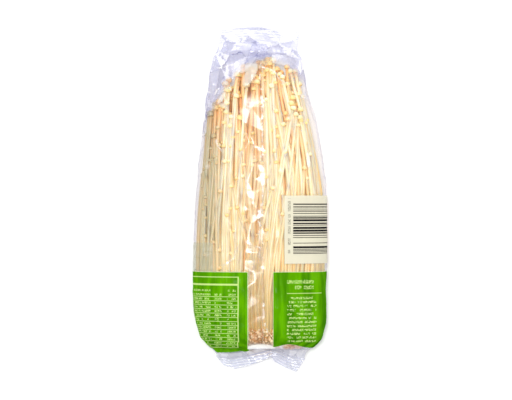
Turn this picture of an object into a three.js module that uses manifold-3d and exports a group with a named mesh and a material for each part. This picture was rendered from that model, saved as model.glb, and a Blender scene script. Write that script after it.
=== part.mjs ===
// A bunch of enoki mushrooms sealed in a film bag, lying on its printed front with the back seam up.
// Millimetres, +Z up, the caps toward +Y. The origin is the middle of the footprint, on the surface.
import * as THREE from "three";
import { mergeVertices } from "three/addons/utils/BufferGeometryUtils.js";
import Module from "manifold-3d";

const wasm = await Module();
wasm.setup();

// The film bag. Each row is one station along the bag: its left and right edges, the height of the
// film that faces the surface, and the height of the film on top.
const STATIONS = [
  { y: -97, left: -26.6, right: 27.4, floor: 3.8, crown: 5.7 },
  { y: -94.6, left: -29.6, right: 31.6, floor: 2.2, crown: 12.5 },
  { y: -90, left: -33.6, right: 36.2, floor: 0.6, crown: 22 },
  { y: -84, left: -37.6, right: 39.4, floor: 0, crown: 26.6 },
  { y: -74, left: -40.4, right: 41.2, floor: 0, crown: 28 },
  { y: -56, left: -42.1, right: 41.5, floor: 0, crown: 28 },
  { y: -16, left: -41.4, right: 42.2, floor: 0, crown: 26.6 },
  { y: 12, left: -39.2, right: 41, floor: 0, crown: 25.2 },
  { y: 38, left: -36.8, right: 37.4, floor: 0, crown: 23.4 },
  { y: 62, left: -34.4, right: 32, floor: 0, crown: 21.2 },
  { y: 78, left: -31.4, right: 28, floor: 0, crown: 17.6 },
  { y: 88, left: -29.2, right: 26.2, floor: 0.6, crown: 11.8 },
  { y: 97, left: -25.6, right: 22.8, floor: 1.6, crown: 3.5 },
];
const FILM = 0.65; // wall
const WIDEST_AT = 0.42; // share of the height at which the bag is widest
const TOP_FULLNESS = 0.86; // exponents of the section: below 1 is fuller than an ellipse
const SIDE_FULLNESS = 0.92;
const BELLY = 1.3; // how far the underside would bulge if the surface didn't press it flat
const AROUND = 28; // facets round the bag
const FLAP_FROM_X = 7; // the back seam: where the outer layer starts to rise over the inner one,
const INNER_EDGE_X = 3.2; // where the inner layer ends,
const SEAM_X = 1.8; // the fold line,
const FLAP_EDGE_X = -9.2; // and the free edge of the flap
const LAP_GAP = 0.35; // between the two layers of the seam
const LIFT = FILM + LAP_GAP;

// The crimped seals. The outline of each runs from left to right, as [x, y].
const HEM_HALF = 1; // half its thickness
const CRIMPS = 3; // ridges across a seal
const CRIMP_HEIGHT = 0.22;
const TUCK = 1.6; // how far the film runs into a seal
const LOWER_HEM = {
  level: 4.75,
  free: [[-22.8, -102.4], [-16, -105], [-6.4, -102.8], [7, -97.4], [8.8, -100.2], [15, -103.6], [22.4, -107]],
  inner: [[-27, -97.2], [-18, -98], [-7, -96.2], [6.4, -92.8], [10.6, -93.4], [18, -96.6], [27.8, -98.8]],
};
const UPPER_HEM = {
  level: 2.55,
  free: [[-23.4, 105.2], [-12.3, 106.5], [-1, 107.2], [7, 105.3], [15.4, 104.2], [24.4, 103.8]],
  inner: [[-26, 96.6], [-13, 97.6], [-1, 98], [7, 97], [15.4, 96], [23.2, 95.2]],
};
const HEM_COLUMNS = 12;

// The bunch. Stems stand in layers, each a step deeper than the one outside it.
const SEED = 20;
const BASE_Y = -89.6; // the cut face
const ROOT = { y: -88.7, radius: 1.25, deeper: 0.9 }; // where a stem starts, half sunk in the fused base
const FREE_Y = -72; // where the stems stand free of it
const SKIN = 1.15; // from the outer face of the film to the nearest cap
const CAP_RADIUS = [1.7, 2.5];
const CAP_HEIGHT = 1.2; // in cap radii
const CAP_PROFILE = [{ up: 0.12, wide: 1 }, { up: 0.62, wide: 0.76 }]; // the rim and the shoulder
const STEM_RADIUS = 1.4; // at the base; it tapers toward the cap
const NECK_RADIUS = 1.15;
const SWAY = 0.35; // how far a stem wanders sideways by itself
const DRIFT = { reach: 2.2, wave: 0.16, phase: 2.1 }; // how far neighbours lean together
const TOP = { y: 88, at: 0.26, fallLeft: 20, fallRight: 40, power: 2.2 }; // the rounded top of the bunch
const LAYERS = [
  { depth: 0, pitch: 3.7, drop: [3, 135], skew: 1.9, sides: 6, bends: [0, 0.45, 1] },
  { depth: 3, pitch: 4.5, drop: [0, 60], skew: 1.7, sides: 5, bends: [0, 0.5, 1] },
  { depth: 6.6, pitch: 7.6, drop: [0, 20], skew: 1, sides: 5, bends: [0, 1] },
];
const STRAY = 0.5; // how far a stem stands from its even place, in pitches
const REFERENCE_Y = -40; // the station at which the layers are spaced

// The fused base and the packed heart of the bunch above it: stations from the cut face up, each with
// its depth under the film.
const BUTT = [
  { y: BASE_Y, inset: 5.2 },
  { y: -86, inset: 4 },
  { y: -75, inset: 4.2 },
  { y: -67, inset: 7 },
  { y: -45, inset: 9.4 },
  { y: 30, inset: 9.2 },
  { y: 50, inset: 10 },
];
const BUTT_AROUND = 16;

// A smooth curve through rows, read at any position along key.
function smoothThrough(rows, key, column) {
  const slope = rows.map((row, i) => {
    const before = rows[Math.max(i - 1, 0)];
    const after = rows[Math.min(i + 1, rows.length - 1)];
    return (after[column] - before[column]) / (after[key] - before[key]);
  });
  return (at) => {
    const last = rows.length - 2;
    let i = rows.findIndex((row, k) => k <= last && at < rows[k + 1][key]);
    if (i < 0) i = last;
    const width = rows[i + 1][key] - rows[i][key];
    const t = THREE.MathUtils.clamp((at - rows[i][key]) / width, 0, 1);
    const h = t * t * (3 - 2 * t);
    return (
      rows[i][column] * (1 - h) +
      rows[i + 1][column] * h +
      width * (slope[i] * t * (1 - t) ** 2 - slope[i + 1] * t * t * (1 - t))
    );
  };
}

const leftEdge = smoothThrough(STATIONS, "y", "left");
const rightEdge = smoothThrough(STATIONS, "y", "right");
const floorCurve = smoothThrough(STATIONS, "y", "floor");
const floorHeight = (y) => Math.max(floorCurve(y), 0);
const crownHeight = smoothThrough(STATIONS, "y", "crown");

const powered = (value, power) => Math.sign(value) * Math.abs(value) ** power;

// The bag's section at y, set in from the film's outer face by inset.
function section(y, inset) {
  const left = leftEdge(y) + inset;
  const right = rightEdge(y) - inset;
  const floor = floorHeight(y) + inset;
  const crown = crownHeight(y) - inset;
  const widest = floorHeight(y) + (crownHeight(y) - floorHeight(y)) * WIDEST_AT;
  return { middle: (left + right) / 2, half: (right - left) / 2, floor, crown, widest };
}

// A point on that section. Angle 0 is the right edge and a quarter turn is the top.
function onSection(y, angle, inset) {
  const s = section(y, inset);
  const up = Math.sin(angle);
  const x = s.middle + s.half * powered(Math.cos(angle), SIDE_FULLNESS);
  const z =
    up >= 0
      ? s.widest + (s.crown - s.widest) * up ** TOP_FULLNESS
      : Math.max(s.floor, s.widest - (s.widest - s.floor) * BELLY * (-up) ** TOP_FULLNESS);
  return new THREE.Vector3(x, y, z);
}

// The angle at which the top of the section passes over x.
function angleOver(y, x) {
  const s = section(y, 0);
  return Math.acos(powered((x - s.middle) / s.half, 1 / SIDE_FULLNESS));
}

// A closed solid between two grids of points that match each other, with its four sides walled.
function slab(outer, inner) {
  const rows = outer.length;
  const columns = outer[0].length;
  const points = [...outer.flat(), ...inner.flat()];
  const out = (j, i) => j * columns + i;
  const inn = (j, i) => rows * columns + j * columns + i;
  const index = [];
  const quad = (a, b, c, d) => index.push(a, b, c, a, c, d);
  for (let j = 0; j < rows - 1; j++)
    for (let i = 0; i < columns - 1; i++) {
      quad(out(j, i), out(j, i + 1), out(j + 1, i + 1), out(j + 1, i));
      quad(inn(j, i), inn(j + 1, i), inn(j + 1, i + 1), inn(j, i + 1));
    }
  for (let j = 0; j < rows - 1; j++) {
    quad(out(j, 0), out(j + 1, 0), inn(j + 1, 0), inn(j, 0));
    quad(out(j + 1, columns - 1), out(j, columns - 1), inn(j, columns - 1), inn(j + 1, columns - 1));
  }
  for (let i = 0; i < columns - 1; i++) {
    quad(out(0, i + 1), out(0, i), inn(0, i), inn(0, i + 1));
    quad(out(rows - 1, i), out(rows - 1, i + 1), inn(rows - 1, i + 1), inn(rows - 1, i));
  }
  return closedGeometry(points, index);
}

function closedGeometry(points, index) {
  const geometry = new THREE.BufferGeometry().setFromPoints(points);
  return geometry.setIndex(index);
}

// Rings of points joined into a closed skin, with a point at each end.
function skin(rings, start, end) {
  const sides = rings[0].length;
  const points = [...rings.flat(), start, end];
  const index = [];
  for (let k = 0; k < rings.length - 1; k++)
    for (let i = 0; i < sides; i++) {
      const a = k * sides + i;
      const b = k * sides + ((i + 1) % sides);
      index.push(a, b, b + sides, a, b + sides, a + sides);
    }
  const top = (rings.length - 1) * sides;
  for (let i = 0; i < sides; i++) {
    const next = (i + 1) % sides;
    index.push(points.length - 2, next, i);
    index.push(points.length - 1, top + i, top + next);
  }
  return closedGeometry(points, index);
}

function solidOf(geometry) {
  const merged = mergeVertices(geometry, 1e-4);
  const made = new wasm.Manifold(
    new wasm.Mesh({
      numProp: 3,
      vertProperties: new Float32Array(merged.attributes.position.array),
      triVerts: new Uint32Array(merged.index.array),
    }),
  );
  if (made.volume() < 0) throw new Error("a solid has its faces pointing in");
  return made;
}

function geometryOf(solid) {
  const mesh = solid.getMesh();
  const geometry = new THREE.BufferGeometry();
  geometry.setAttribute("position", new THREE.BufferAttribute(mesh.vertProperties, 3));
  geometry.setIndex(new THREE.BufferAttribute(mesh.triVerts, 1));
  geometry.computeVertexNormals();
  return geometry;
}

const union = (solids) => solids.reduce((joined, solid) => joined.add(solid));

// The height at which y is read on a seal's outline, for any x.
function outlineAt(outline) {
  const rows = outline.map(([x, y]) => ({ x, y }));
  return (x) => {
    const i = THREE.MathUtils.clamp(rows.findIndex((row) => row.x > x) - 1, 0, rows.length - 2);
    const end = x >= rows[rows.length - 1].x ? rows.length - 2 : i;
    const t = (x - rows[end].x) / (rows[end + 1].x - rows[end].x);
    return THREE.MathUtils.lerp(rows[end].y, rows[end + 1].y, THREE.MathUtils.clamp(t, 0, 1));
  };
}

// How far the seam's outer layer stands above the inner one at x.
function flapLift(x) {
  if (x < FLAP_EDGE_X) return 0;
  return LIFT * (1 - THREE.MathUtils.smoothstep(x, INNER_EDGE_X, FLAP_FROM_X));
}

// The film, one sheet wrapped round and lapped over itself along the back.
function filmSheet() {
  const lowEnd = STATIONS[0].y;
  const highEnd = STATIONS[STATIONS.length - 1].y;
  const stations = [lowEnd, -95.6, -93.4, -90.4, -87, -82, -74, -56, -30, -4, 20, 42, 60, 74, 83, 90, highEnd];
  const lowerSeal = outlineAt(LOWER_HEM.inner);
  const upperSeal = outlineAt(UPPER_HEM.inner);
  const grid = (inset) =>
    stations.map((y) => {
      const toLower = 1 - THREE.MathUtils.smoothstep(y, lowEnd, -86);
      const toUpper = THREE.MathUtils.smoothstep(y, 84, highEnd);
      const start = angleOver(y, INNER_EDGE_X);
      const rise = angleOver(y, FLAP_FROM_X) + 2 * Math.PI;
      const row = [];
      for (let i = 0; i <= AROUND; i++)
        row.push({ angle: THREE.MathUtils.lerp(start, rise, i / AROUND), lift: 0 });
      for (const x of [INNER_EDGE_X, SEAM_X, (SEAM_X + FLAP_EDGE_X) / 2, FLAP_EDGE_X])
        row.push({ angle: angleOver(y, x) + 2 * Math.PI, lift: LIFT });
      return row.map(({ angle, lift }) => {
        const p = onSection(y, angle, inset);
        p.y += toLower * (lowerSeal(p.x) - TUCK - lowEnd);
        p.y += toUpper * (upperSeal(p.x) + TUCK - highEnd);
        p.z += lift;
        return p;
      });
    });
  return slab(grid(FILM), grid(0));
}

// A crimped seal: a corrugated strip between its free edge and the film.
function hem({ level, free, inner }, flip) {
  const along = (outline, t) => {
    const place = t * (outline.length - 1);
    const i = Math.min(Math.floor(place), outline.length - 2);
    const [a, b] = [outline[i], outline[i + 1]];
    return new THREE.Vector2(...a).lerp(new THREE.Vector2(...b), place - i);
  };
  const face = (side) => {
    const rows = [];
    for (let k = 0; k <= 2 * CRIMPS; k++) {
      const row = [];
      for (let i = 0; i <= HEM_COLUMNS; i++) {
        const t = i / HEM_COLUMNS;
        const p = along(free, t).lerp(along(inner, t), k / (2 * CRIMPS));
        const ridge = k % 2 ? CRIMP_HEIGHT : 0;
        const lift = side > 0 ? flapLift(p.x) : 0;
        row.push(new THREE.Vector3(p.x, p.y, level + side * HEM_HALF + ridge + lift));
      }
      rows.push(row);
    }
    return rows;
  };
  return flip ? slab(face(-1), face(1)) : slab(face(1), face(-1));
}

function filmBag() {
  return union([solidOf(filmSheet()), solidOf(hem(LOWER_HEM, false)), solidOf(hem(UPPER_HEM, true))]);
}

// Even random numbers from 0 to 1, the same on each run.
function seeded(seed) {
  let state = seed >>> 0;
  return () => {
    state = (Math.imul(state, 1664525) + 1013904223) >>> 0;
    return state / 4294967296;
  };
}

// Angles spaced along the section's outline, each a little off its even place.
function spacedAngles(inset, pitch, random) {
  const steps = 720;
  const travelled = [0];
  let before = onSection(REFERENCE_Y, 0, inset);
  for (let i = 1; i <= steps; i++) {
    const here = onSection(REFERENCE_Y, (i / steps) * 2 * Math.PI, inset);
    travelled.push(travelled[i - 1] + here.distanceTo(before));
    before = here;
  }
  const count = Math.round(travelled[steps] / pitch);
  return Array.from({ length: count }, (_, n) => {
    const place = n + 0.5 + (random() - 0.5) * STRAY;
    const i = travelled.findIndex((far) => far >= (place / count) * travelled[steps]);
    return (i / steps) * 2 * Math.PI;
  });
}

// Where each mushroom stands, how deep it is in the bunch, and how high it reaches.
function placeMushrooms() {
  const random = seeded(SEED);
  const between = ([low, high], share) => low + (high - low) * share;
  return LAYERS.flatMap((layer) =>
    spacedAngles(SKIN + CAP_RADIUS[1] + layer.depth, layer.pitch, random).map((angle) => {
      const away = powered(Math.cos(angle), SIDE_FULLNESS) - TOP.at;
      const fall = away < 0 ? TOP.fallLeft : TOP.fallRight;
      const highest = TOP.y - fall * Math.abs(away) ** TOP.power;
      const drop = between(layer.drop, random() ** layer.skew);
      return {
        angle,
        depth: layer.depth,
        sides: layer.sides,
        bends: layer.bends,
        tip: Math.max(highest - drop, -52),
        cap: between(CAP_RADIUS, random()),
        sway: (random() - 0.5) * 2 * SWAY,
        phase: random() * Math.PI,
      };
    }),
  );
}

// The middle line of a stem at y: it keeps its place in the bunch as the bunch narrows.
function stemAt({ angle, depth, sway, phase }, y, deeper = 0) {
  const room = (at) => crownHeight(at) - section(at, 0).widest;
  const packed = Math.min(1, room(y) / room(REFERENCE_Y));
  const inset = Math.min(SKIN + CAP_RADIUS[1] + depth * packed + deeper, room(y) * 0.8);
  const { x } = onSection(y, angle, inset);
  const risen = (y - ROOT.y) / (TOP.y - ROOT.y);
  const wander = sway * risen * Math.sin(phase + y / 30);
  const lean = DRIFT.reach * risen ** 2 * Math.sin(DRIFT.wave * x + DRIFT.phase);
  return onSection(y, angle - (wander + lean) / section(y, inset).half, inset);
}

function mushroom(place) {
  const { tip, cap, sides, bends } = place;
  const capHeight = cap * CAP_HEIGHT;
  const line = [{ at: stemAt(place, ROOT.y, ROOT.deeper), radius: ROOT.radius }];
  for (const share of bends) {
    const at = stemAt(place, THREE.MathUtils.lerp(FREE_Y, tip - capHeight, share));
    line.push({ at, radius: THREE.MathUtils.lerp(STEM_RADIUS, NECK_RADIUS, share) });
  }
  const [before, neck] = line.slice(-2).map(({ at }) => at);
  const heading = neck.clone().sub(before).normalize();
  const past = (share) => neck.clone().addScaledVector(heading, share * capHeight);
  for (const { up, wide } of CAP_PROFILE) line.push({ at: past(up), radius: cap * wide });
  const side = new THREE.Vector3(0, 0, 1).cross(heading).normalize();
  const above = heading.clone().cross(side);
  const rings = line.map(({ at, radius }) =>
    Array.from({ length: sides }, (_, i) => {
      const turn = (i / sides) * 2 * Math.PI;
      const across = side.clone().multiplyScalar(Math.cos(turn) * radius);
      return at.clone().add(across).addScaledVector(above, Math.sin(turn) * radius);
    }),
  );
  return skin(rings, line[0].at, past(1));
}

// The base, where the stems have grown together, and the heart that the layers stand round.
function butt() {
  const ring = ({ y, inset }) =>
    Array.from({ length: BUTT_AROUND }, (_, i) => onSection(y, (-i / BUTT_AROUND) * 2 * Math.PI, inset));
  const centre = (y) => {
    const s = section(y, 0);
    return new THREE.Vector3(s.middle, y, (s.floor + s.crown) / 2);
  };
  return skin(BUTT.map(ring), centre(BUTT[0].y), centre(BUTT[BUTT.length - 1].y));
}

function enokiBunch() {
  return union([butt(), ...placeMushrooms().map(mushroom)].map(solidOf));
}

const CREAM = new THREE.MeshStandardMaterial({ color: 0xf3dfb4, roughness: 0.55, metalness: 0 });
const CLEAR_FILM = new THREE.MeshStandardMaterial({
  color: 0xe6e6fa,
  roughness: 0.15,
  metalness: 0,
  transparent: true,
  opacity: 0.3,
});

function named(name, geometry, material) {
  const mesh = new THREE.Mesh(geometry, material);
  mesh.name = name;
  return mesh;
}

const pack = new THREE.Group();
pack.add(named("mushroom_bunch", geometryOf(enokiBunch()), CREAM));
pack.add(named("film_bag", geometryOf(filmBag()), CLEAR_FILM));

export default pack;
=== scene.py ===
"""A bunch of enoki mushrooms sealed in a film bag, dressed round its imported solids.

The pack lies on its printed front with the back seam up, the caps point to +Y, and the camera looks
straight down on it. Sizes are millimetres in this file and become metres where a mesh is made.
"""

import logging
import math
from collections.abc import Callable
from dataclasses import dataclass, field, replace
from enum import Enum

import bpy
import numpy as np
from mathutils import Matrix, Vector, geometry, noise
from mathutils.bvhtree import BVHTree


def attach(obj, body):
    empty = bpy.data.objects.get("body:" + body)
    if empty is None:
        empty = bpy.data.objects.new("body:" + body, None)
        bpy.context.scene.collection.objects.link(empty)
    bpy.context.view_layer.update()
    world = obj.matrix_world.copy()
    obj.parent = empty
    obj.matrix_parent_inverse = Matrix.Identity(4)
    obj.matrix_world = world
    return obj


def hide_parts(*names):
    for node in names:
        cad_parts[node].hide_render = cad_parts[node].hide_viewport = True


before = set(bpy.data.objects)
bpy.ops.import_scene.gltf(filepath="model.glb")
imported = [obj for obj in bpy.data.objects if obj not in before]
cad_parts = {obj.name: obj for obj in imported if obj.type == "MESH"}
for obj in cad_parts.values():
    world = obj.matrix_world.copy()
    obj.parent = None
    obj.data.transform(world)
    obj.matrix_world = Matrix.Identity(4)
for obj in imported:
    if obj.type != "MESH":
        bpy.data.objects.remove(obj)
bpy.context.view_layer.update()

Colour = tuple[float, float, float]
Box = tuple[float, float, float, float]
Socket = bpy.types.NodeSocket
Value = Socket | float | tuple[float, ...]

log = logging.getLogger("enoki")

MM = 0.001
TURN = 2 * math.pi
BODY = "root"


class Slot(Enum):
    """The record's material slots."""

    MUSHROOM = "mushroom"
    FILM = "film"


class Seeded:
    """Even random numbers from 0 to 1, the same on each run."""

    FACTOR = 1664525
    STEP = 1013904223
    RANGE = 2**32

    def __init__(self, seed: int) -> None:
        """Starts the row of numbers.

        Args:
            seed: Any whole number.
        """
        self.state = seed

    def next(self) -> float:
        """Returns the next number."""
        self.state = (self.state * self.FACTOR + self.STEP) % self.RANGE
        return self.state / self.RANGE

    def between(self, low: float, high: float) -> float:
        """Returns a number from low to high."""
        return low + (high - low) * self.next()


class SmoothCurve:
    """A smooth curve through points, read anywhere along them."""

    def __init__(self, at: list[float], value: list[float]) -> None:
        """Keeps the points and their slopes.

        Args:
            at: Positions, rising.
            value: The value at each position.
        """
        self.at = np.array(at, float)
        self.value = np.array(value, float)
        last = len(at) - 1
        before = np.maximum(np.arange(len(at)) - 1, 0)
        after = np.minimum(np.arange(len(at)) + 1, last)
        self.slope = (self.value[after] - self.value[before]) / (self.at[after] - self.at[before])

    def __call__(self, where: np.ndarray) -> np.ndarray:
        """Returns the curve's value at one or more positions."""
        i = np.clip(np.searchsorted(self.at, where, side="right") - 1, 0, len(self.at) - 2)
        width = self.at[i + 1] - self.at[i]
        t = np.clip((where - self.at[i]) / width, 0, 1)
        h = t * t * (3 - 2 * t)
        bend = self.slope[i] * t * (1 - t) ** 2 - self.slope[i + 1] * t * t * (1 - t)
        return self.value[i] * (1 - h) + self.value[i + 1] * h + width * bend


def smoothstep(value: np.ndarray, low: float, high: float) -> np.ndarray:
    """Returns 0 below low, 1 above high, and a smooth rise between them."""
    t = np.clip((value - low) / (high - low), 0, 1)
    return t * t * (3 - 2 * t)


def powered(value: np.ndarray, power: float) -> np.ndarray:
    """Returns value to a power, with its sign kept."""
    return np.sign(value) * np.abs(value) ** power


def noise_at(points: np.ndarray, scale: float, offset: float = 0.0) -> np.ndarray:
    """Reads smooth noise at points.

    Args:
        points: Points in millimetres, in an array whose last axis is x, y, z.
        scale: Size of the noise's features, in millimetres.
        offset: Moves the reading to another part of the noise.

    Returns:
        Values from about -1 to 1, one to a point.
    """
    flat = points.reshape(-1, 3) / scale + offset
    return np.array([noise.noise(Vector(p)) for p in flat]).reshape(points.shape[:-1])


@dataclass(frozen=True)
class BagForm:
    """The bag's outer form: stations along Y with the edges, the floor and the crown of each."""

    y: tuple[float, ...] = (-97, -94.6, -90, -84, -74, -56, -16, 12, 38, 62, 78, 88, 97)
    left: tuple[float, ...] = (
        -26.6, -29.6, -33.6, -37.6, -40.4, -42.1, -41.4, -39.2, -36.8, -34.4, -31.4, -29.2, -25.6,
    )
    right: tuple[float, ...] = (27.4, 31.6, 36.2, 39.4, 41.2, 41.5, 42.2, 41, 37.4, 32, 28, 26.2, 22.8)
    floor: tuple[float, ...] = (3.8, 2.2, 0.6, 0, 0, 0, 0, 0, 0, 0, 0, 0.6, 1.6)
    crown: tuple[float, ...] = (5.7, 12.5, 22, 26.6, 28, 28, 26.6, 25.2, 23.4, 21.2, 17.6, 11.8, 3.5)
    widest_at: float = 0.42
    top_fullness: float = 0.86
    side_fullness: float = 0.92
    belly: float = 1.3

    def rows(self, y: np.ndarray, inset: np.ndarray) -> tuple[np.ndarray, ...]:
        """Measures the section at y, set in from the outer face of the film.

        Args:
            y: Stations.
            inset: How far in.

        Returns:
            The section's middle, half width, floor, crown and height of the widest place.
        """
        left = SmoothCurve(self.y, self.left)(y)
        right = SmoothCurve(self.y, self.right)(y)
        low = np.maximum(SmoothCurve(self.y, self.floor)(y), 0)
        high = SmoothCurve(self.y, self.crown)(y)
        widest = low + (high - low) * self.widest_at
        return (left + right) / 2, (right - left) / 2 - inset, low + inset, high - inset, widest

    def point(self, y: np.ndarray, angle: np.ndarray, inset: np.ndarray) -> np.ndarray:
        """Returns points on the section. Angle 0 is the right edge and a quarter turn is the top."""
        y, angle, inset = np.broadcast_arrays(y, angle, inset)
        middle, half, low, high, widest = self.rows(y, inset)
        up = np.sin(angle)
        rise = np.abs(up) ** self.top_fullness
        x = middle + half * powered(np.cos(angle), self.side_fullness)
        above = widest + (high - widest) * rise
        below = np.maximum(low, widest - (widest - low) * self.belly * rise)
        return np.stack([x, y, np.where(up >= 0, above, below)], axis=-1)

    def angle_over(self, y: np.ndarray, x: float, inset: float = 0.0) -> np.ndarray:
        """Returns the angle at which the top of the section passes over x."""
        middle, half, *_ = self.rows(np.asarray(y, float), inset)
        return np.arccos(powered(np.clip((x - middle) / half, -1, 1), 1 / self.side_fullness))

    def room(self, y: np.ndarray) -> np.ndarray:
        """Returns the height from the widest place to the crown."""
        _, _, _, high, widest = self.rows(np.asarray(y, float), 0)
        return high - widest


BAG = BagForm()

# The film hangs loose past a curve that crosses the pack above the caps
SLACK_MIDDLE = 4.0
SLACK_CURVE = 0.027


def mesh_object(name: str, points: np.ndarray, faces: list[tuple[int, ...]]) -> bpy.types.Object:
    """Makes a smooth shaded mesh object.

    Args:
        name: The piece's name.
        points: Its vertices, in millimetres.
        faces: Vertex indices of each face.

    Returns:
        The object, linked to the scene.
    """
    mesh = bpy.data.meshes.new(name)
    mesh.from_pydata((points.reshape(-1, 3) * MM).tolist(), [], faces)
    mesh.validate()
    mesh.shade_smooth()
    obj = bpy.data.objects.new(name, mesh)
    bpy.context.scene.collection.objects.link(obj)
    return obj


def point_values(obj: bpy.types.Object, name: str, values: np.ndarray) -> None:
    """Stores three numbers on each vertex, for the materials to read.

    Args:
        obj: The piece.
        name: The attribute's name.
        values: An array with one row of three to a vertex.
    """
    attribute = obj.data.attributes.new(name, "FLOAT_VECTOR", "POINT")
    attribute.data.foreach_set("vector", values.astype(np.float32).ravel())


def ring_faces(start: int, rings: int, sides: int) -> list[tuple[int, ...]]:
    """Returns the faces that join rings of points into a tube."""
    faces = []
    for k in range(rings - 1):
        for i in range(sides):
            a = start + k * sides + i
            b = start + k * sides + (i + 1) % sides
            faces.append((a, b, b + sides, a + sides))
    return faces


def dress(obj: bpy.types.Object, material: bpy.types.Material) -> None:
    """Gives a piece its material and lets it ride on the body."""
    obj.data.materials.append(material)
    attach(obj, BODY)
    log.info("%s: %d faces", obj.name, len(obj.data.polygons))


class Graph:
    """Adds and joins the nodes of one material or node group."""

    def __init__(self, tree: bpy.types.NodeTree) -> None:
        """Keeps the tree."""
        self.tree = tree

    def add(self, kind: str, inputs: dict[str | int, Value] | None = None, **settings) -> bpy.types.Node:
        """Adds a node.

        Args:
            kind: The node's type name.
            inputs: A value or a socket for each named or numbered input.
            **settings: The node's own properties.

        Returns:
            The node.
        """
        node = self.tree.nodes.new(kind)
        for name, value in settings.items():
            setattr(node, name, value)
        for name, value in (inputs or {}).items():
            self.put(node.inputs[name], value)
        return node

    def put(self, socket: Socket, value: Value) -> None:
        """Sets a socket, or joins it to another one. Colours are given without their alpha."""
        if isinstance(value, Socket):
            self.tree.links.new(value, socket)
        elif socket.type == "RGBA":
            socket.default_value = (*value, 1.0)
        else:
            socket.default_value = value

    def math(self, operation: str, a: Value, b: Value = 0.0, clamp: bool = False) -> Socket:
        """Returns the result of a Math node."""
        return self.add("ShaderNodeMath", {0: a, 1: b}, operation=operation, use_clamp=clamp).outputs[0]

    def chain(self, operation: str, first: Value, *others: Value) -> Value:
        """Returns values joined one after another by the same operation."""
        for other in others:
            first = self.math(operation, first, other)
        return first

    def plus(self, *values: Value) -> Value:
        """Returns the sum of values."""
        return self.chain("ADD", *values)

    def minus(self, a: Value, b: Value) -> Value:
        """Returns a less b."""
        return self.math("SUBTRACT", a, b)

    def times(self, *values: Value) -> Value:
        """Returns the product of values, or the mask that is 1 where all the masks are."""
        return self.chain("MULTIPLY", *values)

    def over(self, a: Value, b: Value) -> Value:
        """Returns a divided by b."""
        return self.math("DIVIDE", a, b)

    def squared(self, value: Value) -> Value:
        """Returns the square of a value."""
        return self.math("POWER", value, 2.0)

    def either(self, *masks: Value) -> Value:
        """Returns the mask that is 1 where any of the masks is."""
        return self.chain("MAXIMUM", *masks)

    def mix(self, share: Value, a: Value, b: Value) -> Socket:
        """Returns a colour between a and b."""
        node = self.add("ShaderNodeMix", data_type="RGBA")
        for name, value in (("Factor", share), ("A", a), ("B", b)):
            self.put(node.inputs[name], value)
        return node.outputs["Result"]

    def span(
        self, value: Value, low: Value, high: Value,
        to_low: float = 0.0, to_high: float = 1.0, smooth: bool = True,
    ) -> Socket:
        """Returns value carried from one range to another."""
        inputs = {"Value": value, "From Min": low, "From Max": high, "To Min": to_low, "To Max": to_high}
        kind = "SMOOTHSTEP" if smooth else "LINEAR"
        return self.add("ShaderNodeMapRange", inputs, interpolation_type=kind).outputs["Result"]

    def scaled(self, vector: Value, factors: tuple[float, float, float]) -> Socket:
        """Returns a vector with each of its parts multiplied."""
        return self.add("ShaderNodeVectorMath", {0: vector, 1: factors}, operation="MULTIPLY").outputs[0]

    def noise(
        self, vector: Value, scale: float, detail: float = 2.0,
        stretch: tuple[float, float, float] | None = None,
    ) -> Socket:
        """Returns noise from 0 to 1.

        Args:
            vector: Where it is read.
            scale: Features to the unit of the vector.
            detail: Octaves.
            stretch: Factors along x, y and z.

        Returns:
            The noise's value.
        """
        if stretch:
            vector = self.scaled(vector, stretch)
        return self.add("ShaderNodeTexNoise", {"Vector": vector, "Scale": scale, "Detail": detail}).outputs[0]

    def bump(self, height: Value, strength: float, distance: float) -> Socket:
        """Returns the normal of a surface with relief, whose distance is in millimetres."""
        inputs = {"Height": height, "Strength": strength, "Distance": distance * MM}
        return self.add("ShaderNodeBump", inputs).outputs[0]

    def combine(self, x: Value, y: Value, z: Value = 0.0) -> Socket:
        """Returns a vector made of its parts."""
        return self.add("ShaderNodeCombineXYZ", {0: x, 1: y, 2: z}).outputs[0]

    def split(self, vector: Value) -> tuple[Socket, ...]:
        """Returns the x, y and z of a vector."""
        return tuple(self.add("ShaderNodeSeparateXYZ", {0: vector}).outputs)

    def group(self, group: bpy.types.NodeTree, **inputs: Value) -> bpy.types.NodeOutputs:
        """Places a node group and returns its outputs."""
        return self.add("ShaderNodeGroup", inputs, node_tree=group).outputs

    def object_point(self) -> Socket:
        """Returns the point on the surface in the piece's own frame, in metres."""
        return self.add("ShaderNodeTexCoord").outputs["Object"]

    def place_in_mm(self, point: Value) -> tuple[Socket, ...]:
        """Returns the x, y and z of a point in millimetres."""
        return self.split(self.scaled(point, (1 / MM, 1 / MM, 1 / MM)))

    def carried(self, name: str) -> Socket:
        """Returns an attribute of the mesh."""
        return self.add("ShaderNodeAttribute", attribute_name=name).outputs["Vector"]


def new_group(
    name: str, takes: dict[str, str], gives: dict[str, str],
) -> tuple[bpy.types.NodeTree, Graph, bpy.types.NodeOutputs, bpy.types.NodeInputs]:
    """Starts a shader node group.

    Args:
        name: The group's name.
        takes: Kind of each input socket, by name.
        gives: Kind of each output socket, by name.

    Returns:
        The group, its graph, the sockets that bring its inputs and the sockets that take its outputs.
    """
    tree = bpy.data.node_groups.new(name, "ShaderNodeTree")
    for sockets, direction in ((takes, "INPUT"), (gives, "OUTPUT")):
        for socket, kind in sockets.items():
            tree.interface.new_socket(socket, in_out=direction, socket_type=f"NodeSocket{kind}")
    graph = Graph(tree)
    return tree, graph, graph.add("NodeGroupInput").outputs, graph.add("NodeGroupOutput").inputs


def new_material(name: str) -> tuple[bpy.types.Material, Graph, bpy.types.Node]:
    """Starts a material and returns it with its graph and its Principled shader."""
    material = bpy.data.materials.new(name)
    material.use_nodes = True
    return material, Graph(material.node_tree), material.node_tree.nodes["Principled BSDF"]


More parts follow.
